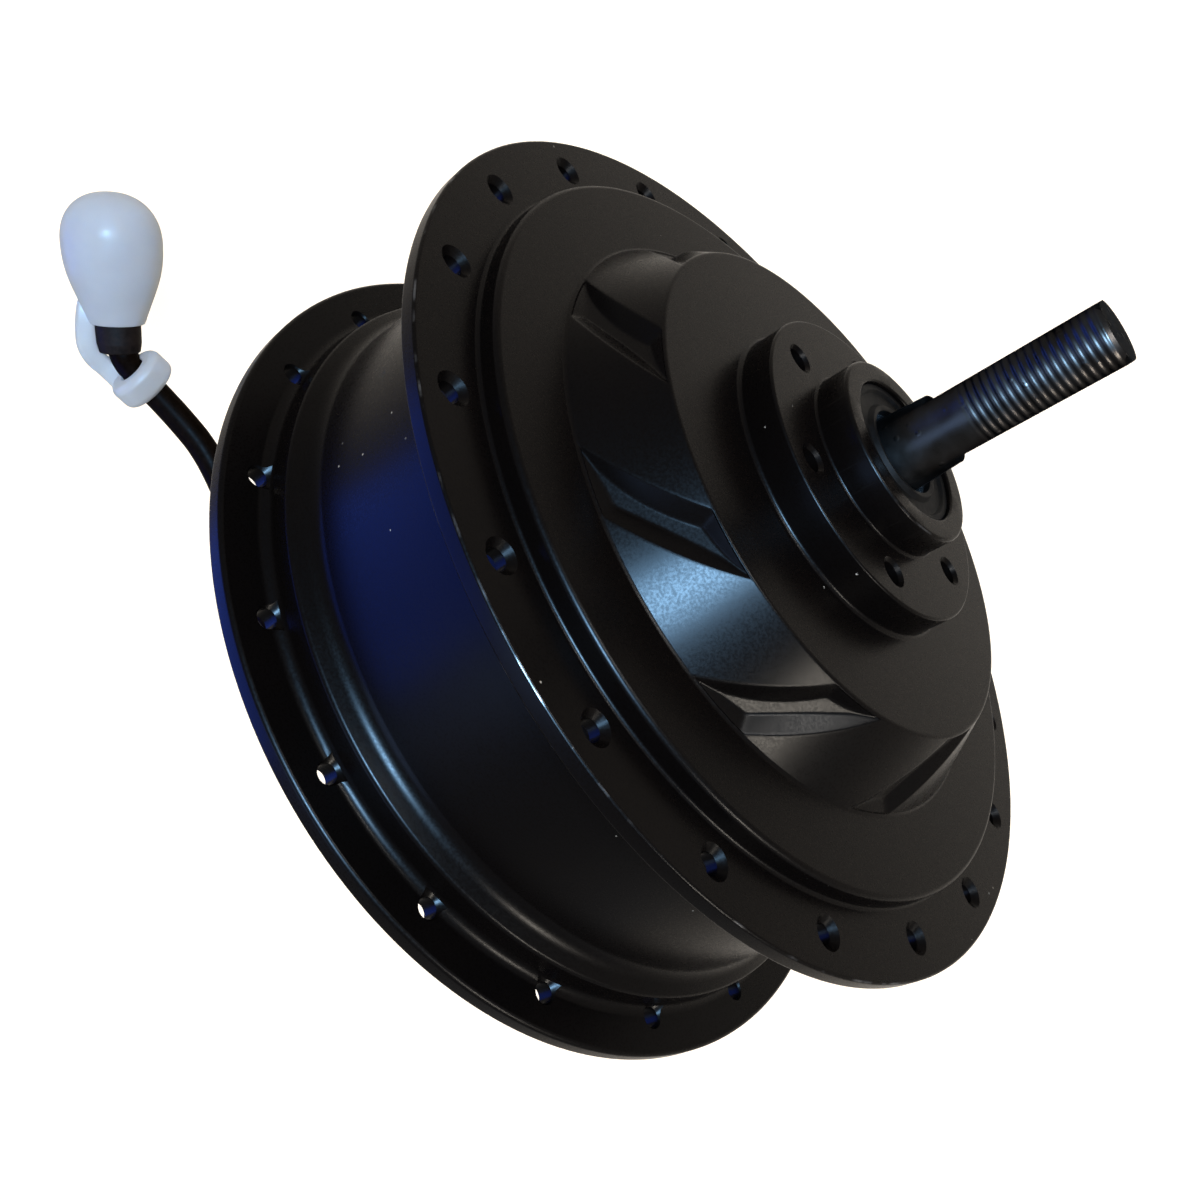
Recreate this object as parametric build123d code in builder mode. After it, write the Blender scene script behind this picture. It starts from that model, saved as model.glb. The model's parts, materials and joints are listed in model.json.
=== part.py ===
from build123d import *
from math import acos, cos, degrees, pi, radians, sin, tan
import os

os.makedirs("parts", exist_ok=True)

# Geared front hub motor for an electric bicycle. Millimetres. The axle lies along Y, the
# brake disc side is +Y, and the origin is on the axle midway between its two shoulders.

# Axle
SHOULDER_SPAN = 100.0
THREAD_LENGTH = 29.2
THREAD_D = 12.0
FLAT_WIDTH = 10.0
NEAR_JOURNAL_D = 15.0
FAR_JOURNAL_D = 17.0
SEAT_D = 20.0
CABLE_BORE_D = 7.4
TIP_CHAMFER = 0.8
WIRE_SLOT_W = 4.4
WIRE_SLOT_L = 4.0
WIRE_SLOT_EDGE = 0.4

# Cast shell, outside
NEAR_FLANGE_D = 157.0
NEAR_FLANGE_FACE = 14.5
NEAR_FLANGE_T = 3.0
NEAR_HOLE_EDGE = 6.2
NEAR_HOLE_START = 18.0
FAR_FLANGE_D = 158.6
FAR_FLANGE_FACE = -35.0
FAR_FLANGE_T = 3.3
FAR_HOLE_EDGE = 6.4
FAR_HOLE_START = 8.6
SPOKE_HOLES = 18
SPOKE_HOLE_D = 3.5
RIM_CHAMFER = 0.6
DRUM_D = 134.6
SHOULDER_D = 142.0
SHOULDER_W = 4.2
FILLET_RUN = 5.0
STEP_D = 134.0
STEP_H = 3.9
STEP_EDGE = 1.0
CONE_FOOT_D = 107.2
CONE_TOP_D = 90.0
CONE_H = 12.4
DISC_BOSS_D = 55.4
DISC_BOSS_H = 6.4
DISC_BOLT_CIRCLE_D = 44.0
DISC_BOLTS = 6
DISC_BOLT_START = 13.6
DISC_TAP_D = 4.2
DISC_TAP_DEPTH = 9.0
PILOT_D = 33.0
PILOT_H = 6.0
PILOT_EDGE = 0.6

# Pockets in the cone
POCKETS = 9
POCKET_FOOT = (22.4, 34.6)
POCKET_TOP = (41.8, 55.9)
POCKET_DEPTH = 1.8
POCKET_WALL_RUN = 2.8

# Cast shell, inside
DRUM_WALL = 4.8
END_WALL = 5.4
CONE_WALL = 5.3
BOSS_WALL = 4.0
LEDGE_D = 121.6
LEDGE_DEPTH = 6.5

# Cartridge bearings: outside diameter and width, for each bore
NEAR_BEARING_D = 28.0
NEAR_BEARING_W = 7.0
FAR_BEARING_D = 35.0
FAR_BEARING_W = 10.0
ROTOR_BEARING_D = 24.0
ROTOR_BEARING_W = 5.0
BEARING_LIP = 1.3
MOUTH_DEPTH = 2.0
RACE_SHARE = 0.26
SHIELD_T = 0.9
SHIELD_INSET = 0.3
BEARING_PAIR_GAP = 0.2
SHOULDER_GAP = 0.1
NEAR_SEAL_T = 1.2
FAR_SEAL_T = 1.4
NEAR_SPACER_WALL = 2.2
FAR_SPACER_WALL = 2.0
FAR_SPACER_L = 5.1

# Side cover
COVER_D = 136.0
COVER_T = 3.5
COVER_FLAT_D = 118.0
COVER_CROWN_D = 84.0
COVER_RISE = 6.0
COVER_HUB_D = 46.0
COVER_HUB_END = -47.0
COVER_HUB_FACE = 0.3
COVER_FIT = 0.1
HOUSING_T = 3.0
HOUSING_PAST = 0.5
COVER_SCREWS = 9
COVER_SCREW_CIRCLE_D = 128.4
SCREW_D = 3.0
SCREW_HEAD_D = 5.2
SCREW_HEAD_H = 1.8
SCREW_REACH = 5.0
GASKET_T = 0.5

# Gear train
MODULE = 1.5
SUN_TEETH = 15
PLANET_TEETH = 24
PLANETS = 3
PLANET_START = 90.0
PRESSURE_ANGLE = 20.0
ADDENDUM = 0.9
DEDENDUM = 1.2
BACKLASH = 0.3
RING_RIM = 4.0
RING_START = 0.6
RING_W = 13.6
RING_COLLAR_T = 3.5
PLANET_INSET = 0.4
SUN_CLEAR = 0.6
SUN_BORE_D = 16.0
SUN_HUB_D = 18.6
SUN_HUB_INSET = 1.2
PIN_D = 8.0
BUSH_T = 1.5
RUNNING_GAP = 0.04

# Carrier and one-way clutch
CARRIER_T = 3.5
CARRIER_GAP = 0.9
CARRIER_LOBE_D = 16.0
CARRIER_HUB_D = 37.0
CLUTCH_RACE_D = 22.0
ROLLER_D = 3.0
ROLLERS = 10
ROLLER_FIT = 0.02
ROLLER_END_GAP = 0.4
CLUTCH_GAP = 0.8
RACE_PAST = 0.3
KEY_W = 4.0
KEY_L = 8.0
KEY_H = 3.2

# Rotor and stator
ROTOR_D = 120.0
ROTOR_WALL = 3.0
ROTOR_FACE = -1.0
ROTOR_DISC_T = 3.0
ROTOR_REACH = -29.0
ROTOR_HUB_D = 30.0
ROTOR_HUB_DEPTH = 9.0
ROTOR_SEAT_GAP = 0.2
MAGNETS = 20
MAGNET_T = 2.4
MAGNET_OVERHANG = 1.0
MAGNET_GAP_ANGLE = 2.0
AIR_GAP = 0.6
STATOR_TEETH = 18
STATOR_NEAR = -7.0
STATOR_FAR = -27.0
TOOTH_NECK = 6.0
TOOTH_SHOE_T = 1.7
TOOTH_MOUTH = 3.0
YOKE_OUTER_D = 71.0
YOKE_INNER_D = 58.0
COIL_BUILD = 2.6
COIL_CLEAR = 0.15
COIL_ROOT_GAP = 1.0
COIL_SHOE_GAP = 0.6
SUPPORT_HUB_D = 27.0
SUPPORT_RIM_T = 3.0
SUPPORT_WEB_T = 4.0
SUPPORT_WEB_SET = 3.0
SUPPORT_CLEAR = 0.8
SUPPORT_HOLES = 6
SUPPORT_HOLE_D = 8.0
BOARD_T = 1.2
BOARD_GAP = 0.05

# Cable: each point is (x, y, z) on its centre line, from the grommet to the connector
CABLE_D = 7.0
CABLE_SIDES = 12
GROMMET_SEAT = 10.0
GROMMET_PROUD = 5.0
GROMMET_D = 10.4
GROMMET_TAPER = 0.8
CABLE_ROUTE = [
    (0.0, -84.2, 0.0),
    (0.0, -98.0, 0.0),
    (-4.0, -111.6, -4.0),
    (-14.0, -122.0, -10.0),
    (-28.5, -127.8, -16.6),
    (-46.0, -128.8, -22.0),
    (-65.5, -126.0, -25.6),
    (-85.2, -122.7, -26.0),
    (-98.0, -123.2, -23.4),
    (-109.6, -124.9, -21.0),
    (-118.3, -127.4, -21.0),
    (-124.5, -122.3, -21.0),
]

# Connector, and the moulding that holds its cap, strap and collar
PLUG_D = 11.2
BOOT_SKIRT = 7.4
BOOT_LENGTH = 9.0
PLUG_LENGTH = 15.0
CONTACTS = 9
CONTACT_CIRCLE_D = 5.6
CONTACT_D = 1.2
CONTACT_LENGTH = 6.0
SOCKET_FLOOR_T = 1.0
SOCKET_WALL = 1.5
CAP_D = 24.6
CAP_START = -0.2
CAP_LENGTH = 31.4
CAP_NECK = 3.2
CAP_WAIST = 18.0
CAP_CROWN_BLUNT = 2.4
CAP_RINGS = 5
CAP_WALL = 1.6
COLLAR_D = 15.0
COLLAR_W = 7.0
STRAP_W = 5.0
STRAP_T = 2.2
STRAP_ROUTE = [
    (-129.6, -125.4, -13.9),
    (-127.4, -127.2, -13.9),
    (-125.1, -129.0, -14.5),
    (-121.7, -130.8, -15.4),
    (-117.7, -131.4, -17.8),
    (-111.6, -130.2, -19.6),
]

# Places worked out from the sizes above
near_shoulder = SHOULDER_SPAN / 2
far_shoulder = -SHOULDER_SPAN / 2
near_tip = near_shoulder + THREAD_LENGTH
far_tip = far_shoulder - THREAD_LENGTH
step_top = NEAR_FLANGE_FACE + STEP_H
cone_top = step_top + CONE_H
disc_seat = cone_top + DISC_BOSS_H
pilot_end = disc_seat + PILOT_H
drum_inner_r = DRUM_D / 2 - DRUM_WALL
end_wall_face = step_top - END_WALL
boss_face = cone_top - BOSS_WALL
ring_teeth = SUN_TEETH + 2 * PLANET_TEETH
ring_pitch_r = MODULE * ring_teeth / 2
sun_pitch_r = MODULE * SUN_TEETH / 2
planet_pitch_r = MODULE * PLANET_TEETH / 2
carrier_r = sun_pitch_r + planet_pitch_r
ring_root_r = ring_pitch_r + MODULE * DEDENDUM
ring_outer_r = ring_root_r + RING_RIM
ring_end = RING_START + RING_W
near_bearing_end = pilot_end - MOUTH_DEPTH
near_bearing_start = near_bearing_end - NEAR_BEARING_W
cover_seat = FAR_FLANGE_FACE + COVER_T
far_bearing_end = COVER_HUB_END + MOUTH_DEPTH + COVER_HUB_FACE
far_bearing_start = far_bearing_end + FAR_BEARING_W
planet_start = RING_START + PLANET_INSET
planet_end = ring_end - SUN_CLEAR
carrier_face = planet_end + CARRIER_GAP
carrier_back = carrier_face + CARRIER_T
clutch_end = boss_face - CLUTCH_GAP
race_end = clutch_end + RACE_PAST
rotor_back = ROTOR_FACE - ROTOR_DISC_T
rotor_hub_end = rotor_back - ROTOR_HUB_DEPTH
seat_end = rotor_hub_end - ROTOR_SEAT_GAP
outer_rotor_bearing_start = seat_end + SHOULDER_GAP
inner_rotor_bearing_start = outer_rotor_bearing_start + ROTOR_BEARING_W + BEARING_PAIR_GAP
rotor_bearing_end = inner_rotor_bearing_start + ROTOR_BEARING_W
seat_start = far_bearing_start + FAR_SPACER_L
housing_r = FAR_BEARING_D / 2 + HOUSING_T
cover_r = COVER_D / 2 - COVER_FIT


def across(y):
    """Plane square to the axle at height y: its x is X, its y is Z, and it faces -Y."""
    return Plane.XZ.offset(-y)


def on_turn(radius, y, angle):
    """Point at a radius and an angle that starts at -X and grows towards +Z."""
    return Vector(-radius * cos(radians(angle)), y, radius * sin(radians(angle)))


def turned(outline):
    """Turn a closed outline of (radius, y) points about the axle line."""
    with BuildSketch(Plane.XY) as profile:
        with BuildLine():
            Polyline(*outline, close=True)
        make_face()
    return revolve(profile.sketch, axis=Axis.Y)


def tube(outer_r, inner_r, start, end, mode=Mode.ADD):
    """Plain ring about the axle line between two heights."""
    with BuildSketch(across(end)) as profile:
        Circle(outer_r)
        if inner_r > 0:
            Circle(inner_r, mode=Mode.SUBTRACT)
    return extrude(profile.sketch, amount=end - start, mode=mode)


def involute(angle):
    return tan(angle) - angle


def tooth_half_angle(pitch_r, radius, thickness):
    """Half angle, in degrees, of an involute tooth of a given thickness on its pitch circle."""
    base_r = pitch_r * cos(radians(PRESSURE_ANGLE))
    at_radius = involute(acos(min(1.0, base_r / radius)))
    at_pitch = involute(radians(PRESSURE_ANGLE))
    return degrees(thickness / (2 * pitch_r) + at_pitch - at_radius)


def gear_outline(teeth, inner_r, outer_r, inner_half, outer_half):
    """Closed points of a toothed ring, given each tooth's half angle at its two radii."""
    points = []
    for index in range(teeth):
        middle = PLANET_START + 360.0 * index / teeth
        flanks = [(inner_r, -inner_half), (outer_r, -outer_half), (outer_r, outer_half), (inner_r, inner_half)]
        for radius, shift in flanks:
            turn = radians(180 - middle - shift)
            points.append((radius * cos(turn), radius * sin(turn)))
    return points


def outer_gear(teeth):
    """Sketch of an external gear with a tooth at the planet start angle."""
    pitch_r = MODULE * teeth / 2
    thickness = pi * MODULE / 2 - BACKLASH / 2
    tip_r = pitch_r + MODULE * ADDENDUM
    root_r = pitch_r - MODULE * DEDENDUM
    tip_half = tooth_half_angle(pitch_r, tip_r, thickness)
    root_half = tooth_half_angle(pitch_r, root_r, thickness)
    outline = gear_outline(teeth, root_r, tip_r, root_half, tip_half)
    with BuildSketch(Plane.XY) as profile:
        with BuildLine():
            Polyline(*outline, close=True)
        make_face()
    return profile.sketch


def bearing(name, outer_d, bore_d, start, end):
    """Outer race, inner race and seals of a cartridge bearing, as three nodes."""
    depth = (outer_d - bore_d) / 2
    outer_wall = depth * RACE_SHARE
    with BuildPart() as outer_race:
        tube(outer_d / 2, outer_d / 2 - outer_wall, start, end)
    with BuildPart() as inner_race:
        tube(bore_d / 2 + outer_wall, bore_d / 2, start, end)
    with BuildPart() as seals:
        for low in (start + SHIELD_INSET, end - SHIELD_INSET - SHIELD_T):
            tube(outer_d / 2 - outer_wall, bore_d / 2 + outer_wall + RUNNING_GAP, low, low + SHIELD_T)
    return {
        name + "_outer_race": outer_race.part,
        name + "_inner_race": inner_race.part,
        name + "_seals": seals.part,
    }


nodes = {}

# Axle: a turned bar with a flatted thread at each end, hollow on the cable side
with BuildPart() as axle:
    turned([
        (0, far_shoulder),
        (FAR_JOURNAL_D / 2, far_shoulder),
        (FAR_JOURNAL_D / 2, seat_start),
        (SEAT_D / 2, seat_start),
        (SEAT_D / 2, seat_end),
        (NEAR_JOURNAL_D / 2, seat_end),
        (NEAR_JOURNAL_D / 2, near_shoulder),
        (0, near_shoulder),
    ])
    for height in (near_tip, far_shoulder):
        with BuildSketch(across(height)):
            Circle(THREAD_D / 2)
            Rectangle(FLAT_WIDTH, THREAD_D, mode=Mode.INTERSECT)
        extrude(amount=THREAD_LENGTH)
    for tip in (axle.edges().group_by(Axis.Y)[-1], axle.edges().group_by(Axis.Y)[0]):
        chamfer(tip, TIP_CHAMFER)
    tube(CABLE_BORE_D / 2, 0, far_tip, far_bearing_start + WIRE_SLOT_L, mode=Mode.SUBTRACT)
    with BuildSketch(Plane.XY) as wire_exit:
        with Locations((0, far_bearing_start + WIRE_SLOT_EDGE + WIRE_SLOT_L / 2)):
            Rectangle(WIRE_SLOT_W, WIRE_SLOT_L)
    extrude(wire_exit.sketch, amount=FAR_JOURNAL_D, mode=Mode.SUBTRACT)
    key_face = NEAR_JOURNAL_D / 2 - KEY_W / 2
    with BuildSketch(Plane.XY.offset(key_face)) as key_seat:
        with Locations((0, carrier_back + KEY_L / 2)):
            Rectangle(KEY_W, KEY_L)
    extrude(key_seat.sketch, amount=KEY_W, mode=Mode.SUBTRACT)
nodes["axle"] = axle.part

with BuildPart() as axle_key:
    extrude(key_seat.sketch, amount=KEY_H)
nodes["axle_key"] = axle_key.part

# Slanted pocket of the cone: four sloped walls that start at its corners, down to a flat floor
cone_slope = Vector(CONE_H, (CONE_FOOT_D - CONE_TOP_D) / 2).normalized()
pocket_angle = (POCKET_FOOT[0] + POCKET_FOOT[1] + POCKET_TOP[0] + POCKET_TOP[1]) / 4
pocket_way = on_turn(1, 0, pocket_angle)
pocket_plane = Plane(
    origin=on_turn((CONE_FOOT_D + CONE_TOP_D) / 4, step_top + CONE_H / 2, pocket_angle),
    x_dir=Vector(sin(radians(pocket_angle)), 0, cos(radians(pocket_angle))),
    z_dir=pocket_way * cone_slope.X + Vector(0, cone_slope.Y, 0),
)
pocket_corners = [
    on_turn(CONE_FOOT_D / 2, step_top, POCKET_FOOT[0]),
    on_turn(CONE_FOOT_D / 2, step_top, POCKET_FOOT[1]),
    on_turn(CONE_TOP_D / 2, cone_top, POCKET_TOP[1]),
    on_turn(CONE_TOP_D / 2, cone_top, POCKET_TOP[0]),
]
flat_corners = [pocket_plane.to_local_coords(corner) for corner in pocket_corners]
flat_middle = sum(flat_corners, Vector(0, 0, 0)) / len(flat_corners)
wall_slope = POCKET_WALL_RUN / POCKET_DEPTH


def pocket_wall(first, second, level):
    """Line of the wall between two corners at a level, as its outward normal and how far out it lies."""
    run = Vector(second.X - first.X, second.Y - first.Y)
    ahead = run.normalized()
    outwards = Vector(ahead.Y, -ahead.X)
    if outwards.dot(first - flat_middle) < 0:
        outwards = -outwards
    normal = outwards + ahead * (wall_slope * (second.Z - first.Z) / run.length)
    return normal, normal.X * first.X + normal.Y * first.Y + wall_slope * (level - first.Z)


def pocket_outline(level):
    """Corner points of the pocket at a level, where its neighbouring walls meet."""
    walls = [pocket_wall(flat_corners[index - 1], flat_corners[index], level) for index in range(4)]
    points = []
    for (normal, reach), (next_normal, next_reach) in zip(walls, walls[1:] + walls[:1]):
        area = normal.X * next_normal.Y - normal.Y * next_normal.X
        x = (reach * next_normal.Y - next_reach * normal.Y) / area
        y = (next_reach * normal.X - reach * next_normal.X) / area
        points.append((x, y))
    return points


with BuildPart() as pocket:
    for level in (POCKET_DEPTH, -POCKET_DEPTH):
        with BuildSketch(pocket_plane.offset(level)):
            with BuildLine():
                Polyline(*pocket_outline(level), close=True)
            make_face()
    loft()

# Cast shell: drum, both spoke flanges, end wall, cone, disc boss and pilot in one piece
inner_shift = Vector(cone_slope.X, cone_slope.Y) * CONE_WALL
inner_slope = (CONE_FOOT_D - CONE_TOP_D) / 2 / CONE_H


def inner_cone_r(y):
    """Radius of the cone's inner wall at a height."""
    return CONE_FOOT_D / 2 - inner_shift.X - (y - step_top + inner_shift.Y) * inner_slope


collar_r = ring_outer_r + RING_COLLAR_T
with BuildPart() as hub_shell:
    turned([
        (COVER_D / 2, FAR_FLANGE_FACE),
        (FAR_FLANGE_D / 2 - RIM_CHAMFER, FAR_FLANGE_FACE),
        (FAR_FLANGE_D / 2, FAR_FLANGE_FACE + RIM_CHAMFER),
        (FAR_FLANGE_D / 2, FAR_FLANGE_FACE + FAR_FLANGE_T - RIM_CHAMFER),
        (FAR_FLANGE_D / 2 - RIM_CHAMFER, FAR_FLANGE_FACE + FAR_FLANGE_T),
        (SHOULDER_D / 2, FAR_FLANGE_FACE + FAR_FLANGE_T),
        (SHOULDER_D / 2, FAR_FLANGE_FACE + FAR_FLANGE_T + SHOULDER_W),
        (DRUM_D / 2, FAR_FLANGE_FACE + FAR_FLANGE_T + SHOULDER_W + FILLET_RUN),
        (DRUM_D / 2, NEAR_FLANGE_FACE - NEAR_FLANGE_T),
        (NEAR_FLANGE_D / 2 - RIM_CHAMFER, NEAR_FLANGE_FACE - NEAR_FLANGE_T),
        (NEAR_FLANGE_D / 2, NEAR_FLANGE_FACE - NEAR_FLANGE_T + RIM_CHAMFER),
        (NEAR_FLANGE_D / 2, NEAR_FLANGE_FACE - RIM_CHAMFER),
        (NEAR_FLANGE_D / 2 - RIM_CHAMFER, NEAR_FLANGE_FACE),
        (STEP_D / 2, NEAR_FLANGE_FACE),
        (STEP_D / 2, step_top - STEP_EDGE),
        (STEP_D / 2 - STEP_EDGE, step_top),
        (CONE_FOOT_D / 2, step_top),
        (CONE_TOP_D / 2, cone_top),
        (DISC_BOSS_D / 2, cone_top),
        (DISC_BOSS_D / 2, disc_seat),
        (PILOT_D / 2, disc_seat),
        (PILOT_D / 2, pilot_end - PILOT_EDGE),
        (PILOT_D / 2 - PILOT_EDGE, pilot_end),
        (NEAR_BEARING_D / 2 - BEARING_LIP, pilot_end),
        (NEAR_BEARING_D / 2 - BEARING_LIP, near_bearing_end),
        (NEAR_BEARING_D / 2, near_bearing_end),
        (NEAR_BEARING_D / 2, boss_face),
        (inner_cone_r(boss_face), boss_face),
        (inner_cone_r(ring_end), ring_end),
        (ring_outer_r, ring_end),
        (ring_outer_r, RING_START),
        (collar_r, RING_START),
        (collar_r, end_wall_face),
        (drum_inner_r, end_wall_face),
        (drum_inner_r, cover_seat + LEDGE_DEPTH),
        (LEDGE_D / 2, cover_seat + LEDGE_DEPTH),
        (LEDGE_D / 2, cover_seat),
        (COVER_D / 2, cover_seat),
    ])
    for index in range(POCKETS):
        add(pocket.part.rotate(Axis.Y, 360 / POCKETS * index), mode=Mode.SUBTRACT)
    for top, thick, hole_r, start in (
        (NEAR_FLANGE_FACE, NEAR_FLANGE_T, NEAR_FLANGE_D / 2 - NEAR_HOLE_EDGE, NEAR_HOLE_START),
        (FAR_FLANGE_FACE + FAR_FLANGE_T, FAR_FLANGE_T, FAR_FLANGE_D / 2 - FAR_HOLE_EDGE, FAR_HOLE_START),
    ):
        with BuildSketch(across(top)):
            with PolarLocations(hole_r, SPOKE_HOLES, start_angle=180 - start):
                Circle(SPOKE_HOLE_D / 2)
        extrude(amount=thick, mode=Mode.SUBTRACT)
    with Locations(Plane(origin=(0, disc_seat, 0), x_dir=(1, 0, 0), z_dir=(0, 1, 0))):
        with PolarLocations(DISC_BOLT_CIRCLE_D / 2, DISC_BOLTS, start_angle=180 + DISC_BOLT_START):
            Hole(DISC_TAP_D / 2, depth=DISC_TAP_DEPTH)
    with BuildSketch(across(cover_seat + SCREW_REACH)):
        with PolarLocations(COVER_SCREW_CIRCLE_D / 2, COVER_SCREWS):
            Circle(SCREW_D / 2)
    extrude(amount=SCREW_REACH, mode=Mode.SUBTRACT)
nodes["hub_shell"] = hub_shell.part

# Side cover: a dished disc with the far bearing in its hub
cover_top = FAR_FLANGE_FACE - COVER_RISE
with BuildPart() as side_cover:
    turned([
        (cover_r, FAR_FLANGE_FACE),
        (cover_r, cover_seat - GASKET_T),
        (COVER_FLAT_D / 2, cover_seat - GASKET_T),
        (COVER_CROWN_D / 2, cover_top + COVER_T),
        (housing_r, cover_top + COVER_T),
        (housing_r, far_bearing_start + HOUSING_PAST),
        (FAR_BEARING_D / 2, far_bearing_start + HOUSING_PAST),
        (FAR_BEARING_D / 2, far_bearing_end),
        (FAR_BEARING_D / 2 - BEARING_LIP, far_bearing_end),
        (FAR_BEARING_D / 2 - BEARING_LIP, COVER_HUB_END),
        (COVER_HUB_D / 2, COVER_HUB_END),
        (COVER_HUB_D / 2, cover_top),
        (COVER_CROWN_D / 2, cover_top),
        (COVER_FLAT_D / 2, FAR_FLANGE_FACE),
    ])
    with BuildSketch(across(cover_seat)):
        with PolarLocations(COVER_SCREW_CIRCLE_D / 2, COVER_SCREWS):
            Circle(SCREW_D / 2)
    extrude(amount=COVER_T, mode=Mode.SUBTRACT)
nodes["side_cover"] = side_cover.part

with BuildPart() as cover_gasket:
    with BuildSketch(across(cover_seat)):
        Circle(cover_r)
        Circle(LEDGE_D / 2, mode=Mode.SUBTRACT)
        with PolarLocations(COVER_SCREW_CIRCLE_D / 2, COVER_SCREWS):
            Circle(SCREW_D / 2, mode=Mode.SUBTRACT)
    extrude(amount=GASKET_T)
nodes["cover_gasket"] = cover_gasket.part

with BuildPart() as cover_screws:
    with BuildSketch(across(cover_seat + SCREW_REACH)):
        with PolarLocations(COVER_SCREW_CIRCLE_D / 2, COVER_SCREWS):
            Circle(SCREW_D / 2)
    extrude(amount=SCREW_REACH + COVER_T)
    with BuildSketch(across(FAR_FLANGE_FACE)):
        with PolarLocations(COVER_SCREW_CIRCLE_D / 2, COVER_SCREWS):
            Circle(SCREW_HEAD_D / 2)
    extrude(amount=SCREW_HEAD_H)
nodes["cover_screws"] = cover_screws.part

# Bearings that carry the shell and the rotor
nodes.update(bearing("near_bearing", NEAR_BEARING_D, NEAR_JOURNAL_D, near_bearing_start, near_bearing_end))
nodes.update(bearing("far_bearing", FAR_BEARING_D, FAR_JOURNAL_D, far_bearing_end, far_bearing_start))
for name, start in (
    ("inner_rotor_bearing", inner_rotor_bearing_start),
    ("outer_rotor_bearing", outer_rotor_bearing_start),
):
    nodes.update(bearing(name, ROTOR_BEARING_D, NEAR_JOURNAL_D, start, start + ROTOR_BEARING_W))

# Lip seals in the two mouths
with BuildPart() as near_seal:
    lip_r = NEAR_BEARING_D / 2 - BEARING_LIP
    tube(lip_r, NEAR_JOURNAL_D / 2 + RUNNING_GAP, near_bearing_end, near_bearing_end + NEAR_SEAL_T)
nodes["near_seal"] = near_seal.part
with BuildPart() as far_seal:
    lip_r = FAR_BEARING_D / 2 - BEARING_LIP
    tube(lip_r, FAR_JOURNAL_D / 2 + RUNNING_GAP, far_bearing_end - FAR_SEAL_T, far_bearing_end)
nodes["far_seal"] = far_seal.part

# Spacers that hold the inner races and the clutch along the axle
with BuildPart() as near_spacer:
    tube(NEAR_JOURNAL_D / 2 + NEAR_SPACER_WALL, NEAR_JOURNAL_D / 2, race_end, near_bearing_start)
nodes["near_spacer"] = near_spacer.part
with BuildPart() as far_spacer:
    tube(FAR_JOURNAL_D / 2 + FAR_SPACER_WALL, FAR_JOURNAL_D / 2, far_bearing_start, seat_start)
    extrude(wire_exit.sketch, amount=FAR_JOURNAL_D, mode=Mode.SUBTRACT)
nodes["far_spacer"] = far_spacer.part

# Ring gear, pressed into the collar of the shell
with BuildPart() as ring_gear:
    space = pi * MODULE / 2 + BACKLASH / 2
    ring_tip_r = ring_pitch_r - MODULE * ADDENDUM
    tip_half = tooth_half_angle(ring_pitch_r, ring_tip_r, space)
    root_half = tooth_half_angle(ring_pitch_r, ring_root_r, space)
    half_pitch = 180.0 / ring_teeth
    ring_points = gear_outline(ring_teeth, ring_tip_r, ring_root_r, tip_half, root_half)
    with BuildSketch(across(ring_end)) as ring_profile:
        Circle(ring_outer_r)
        with BuildLine() as ring_line:
            Polyline(*ring_points, close=True)
        with Locations(Rot(0, 0, -half_pitch)):
            add(make_face(ring_line.edges(), mode=Mode.PRIVATE), mode=Mode.SUBTRACT)
    extrude(amount=RING_W)
nodes["ring_gear"] = ring_gear.part

# Sun gear: teeth, bore and the hub that is pressed into the rotor
with BuildPart() as sun_gear:
    with BuildSketch(across(ring_end)):
        add(outer_gear(SUN_TEETH))
        Circle(SUN_BORE_D / 2, mode=Mode.SUBTRACT)
    extrude(amount=ring_end - ROTOR_FACE - SUN_CLEAR)
    tube(SUN_HUB_D / 2, SUN_BORE_D / 2, rotor_back + SUN_HUB_INSET, ROTOR_FACE + SUN_CLEAR)
nodes["sun_gear"] = sun_gear.part

# Planets, each on a bush that turns on a pin of the carrier
bush_r = PIN_D / 2 + RUNNING_GAP + BUSH_T
for index in range(PLANETS):
    place_angle = PLANET_START + 360 / PLANETS * index
    centre = on_turn(carrier_r, 0, place_angle)
    with BuildPart() as planet_gear:
        with BuildSketch(across(planet_end)):
            mesh_turn = 180 / PLANET_TEETH - 360 / PLANETS * index
            add(Pos(centre.X, centre.Z) * Rot(0, 0, mesh_turn) * outer_gear(PLANET_TEETH))
            with Locations((centre.X, centre.Z)):
                Circle(bush_r, mode=Mode.SUBTRACT)
        extrude(amount=planet_end - planet_start)
    with BuildPart() as planet_bush:
        with BuildSketch(across(planet_end)):
            with Locations((centre.X, centre.Z)):
                Circle(bush_r)
                Circle(PIN_D / 2 + RUNNING_GAP, mode=Mode.SUBTRACT)
        extrude(amount=planet_end - planet_start)
    nodes[f"planet_gear_{index + 1}"] = planet_gear.part
    nodes[f"planet_bush_{index + 1}"] = planet_bush.part

# Carrier with its pins, and the one-way clutch that holds it to the axle
carrier_start = 180 - PLANET_START
with BuildPart() as planet_pins:
    with BuildSketch(across(carrier_back)):
        with PolarLocations(carrier_r, PLANETS, start_angle=carrier_start):
            Circle(PIN_D / 2)
    extrude(amount=carrier_back - RING_START + PLANET_INSET)
nodes["planet_pins"] = planet_pins.part

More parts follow.
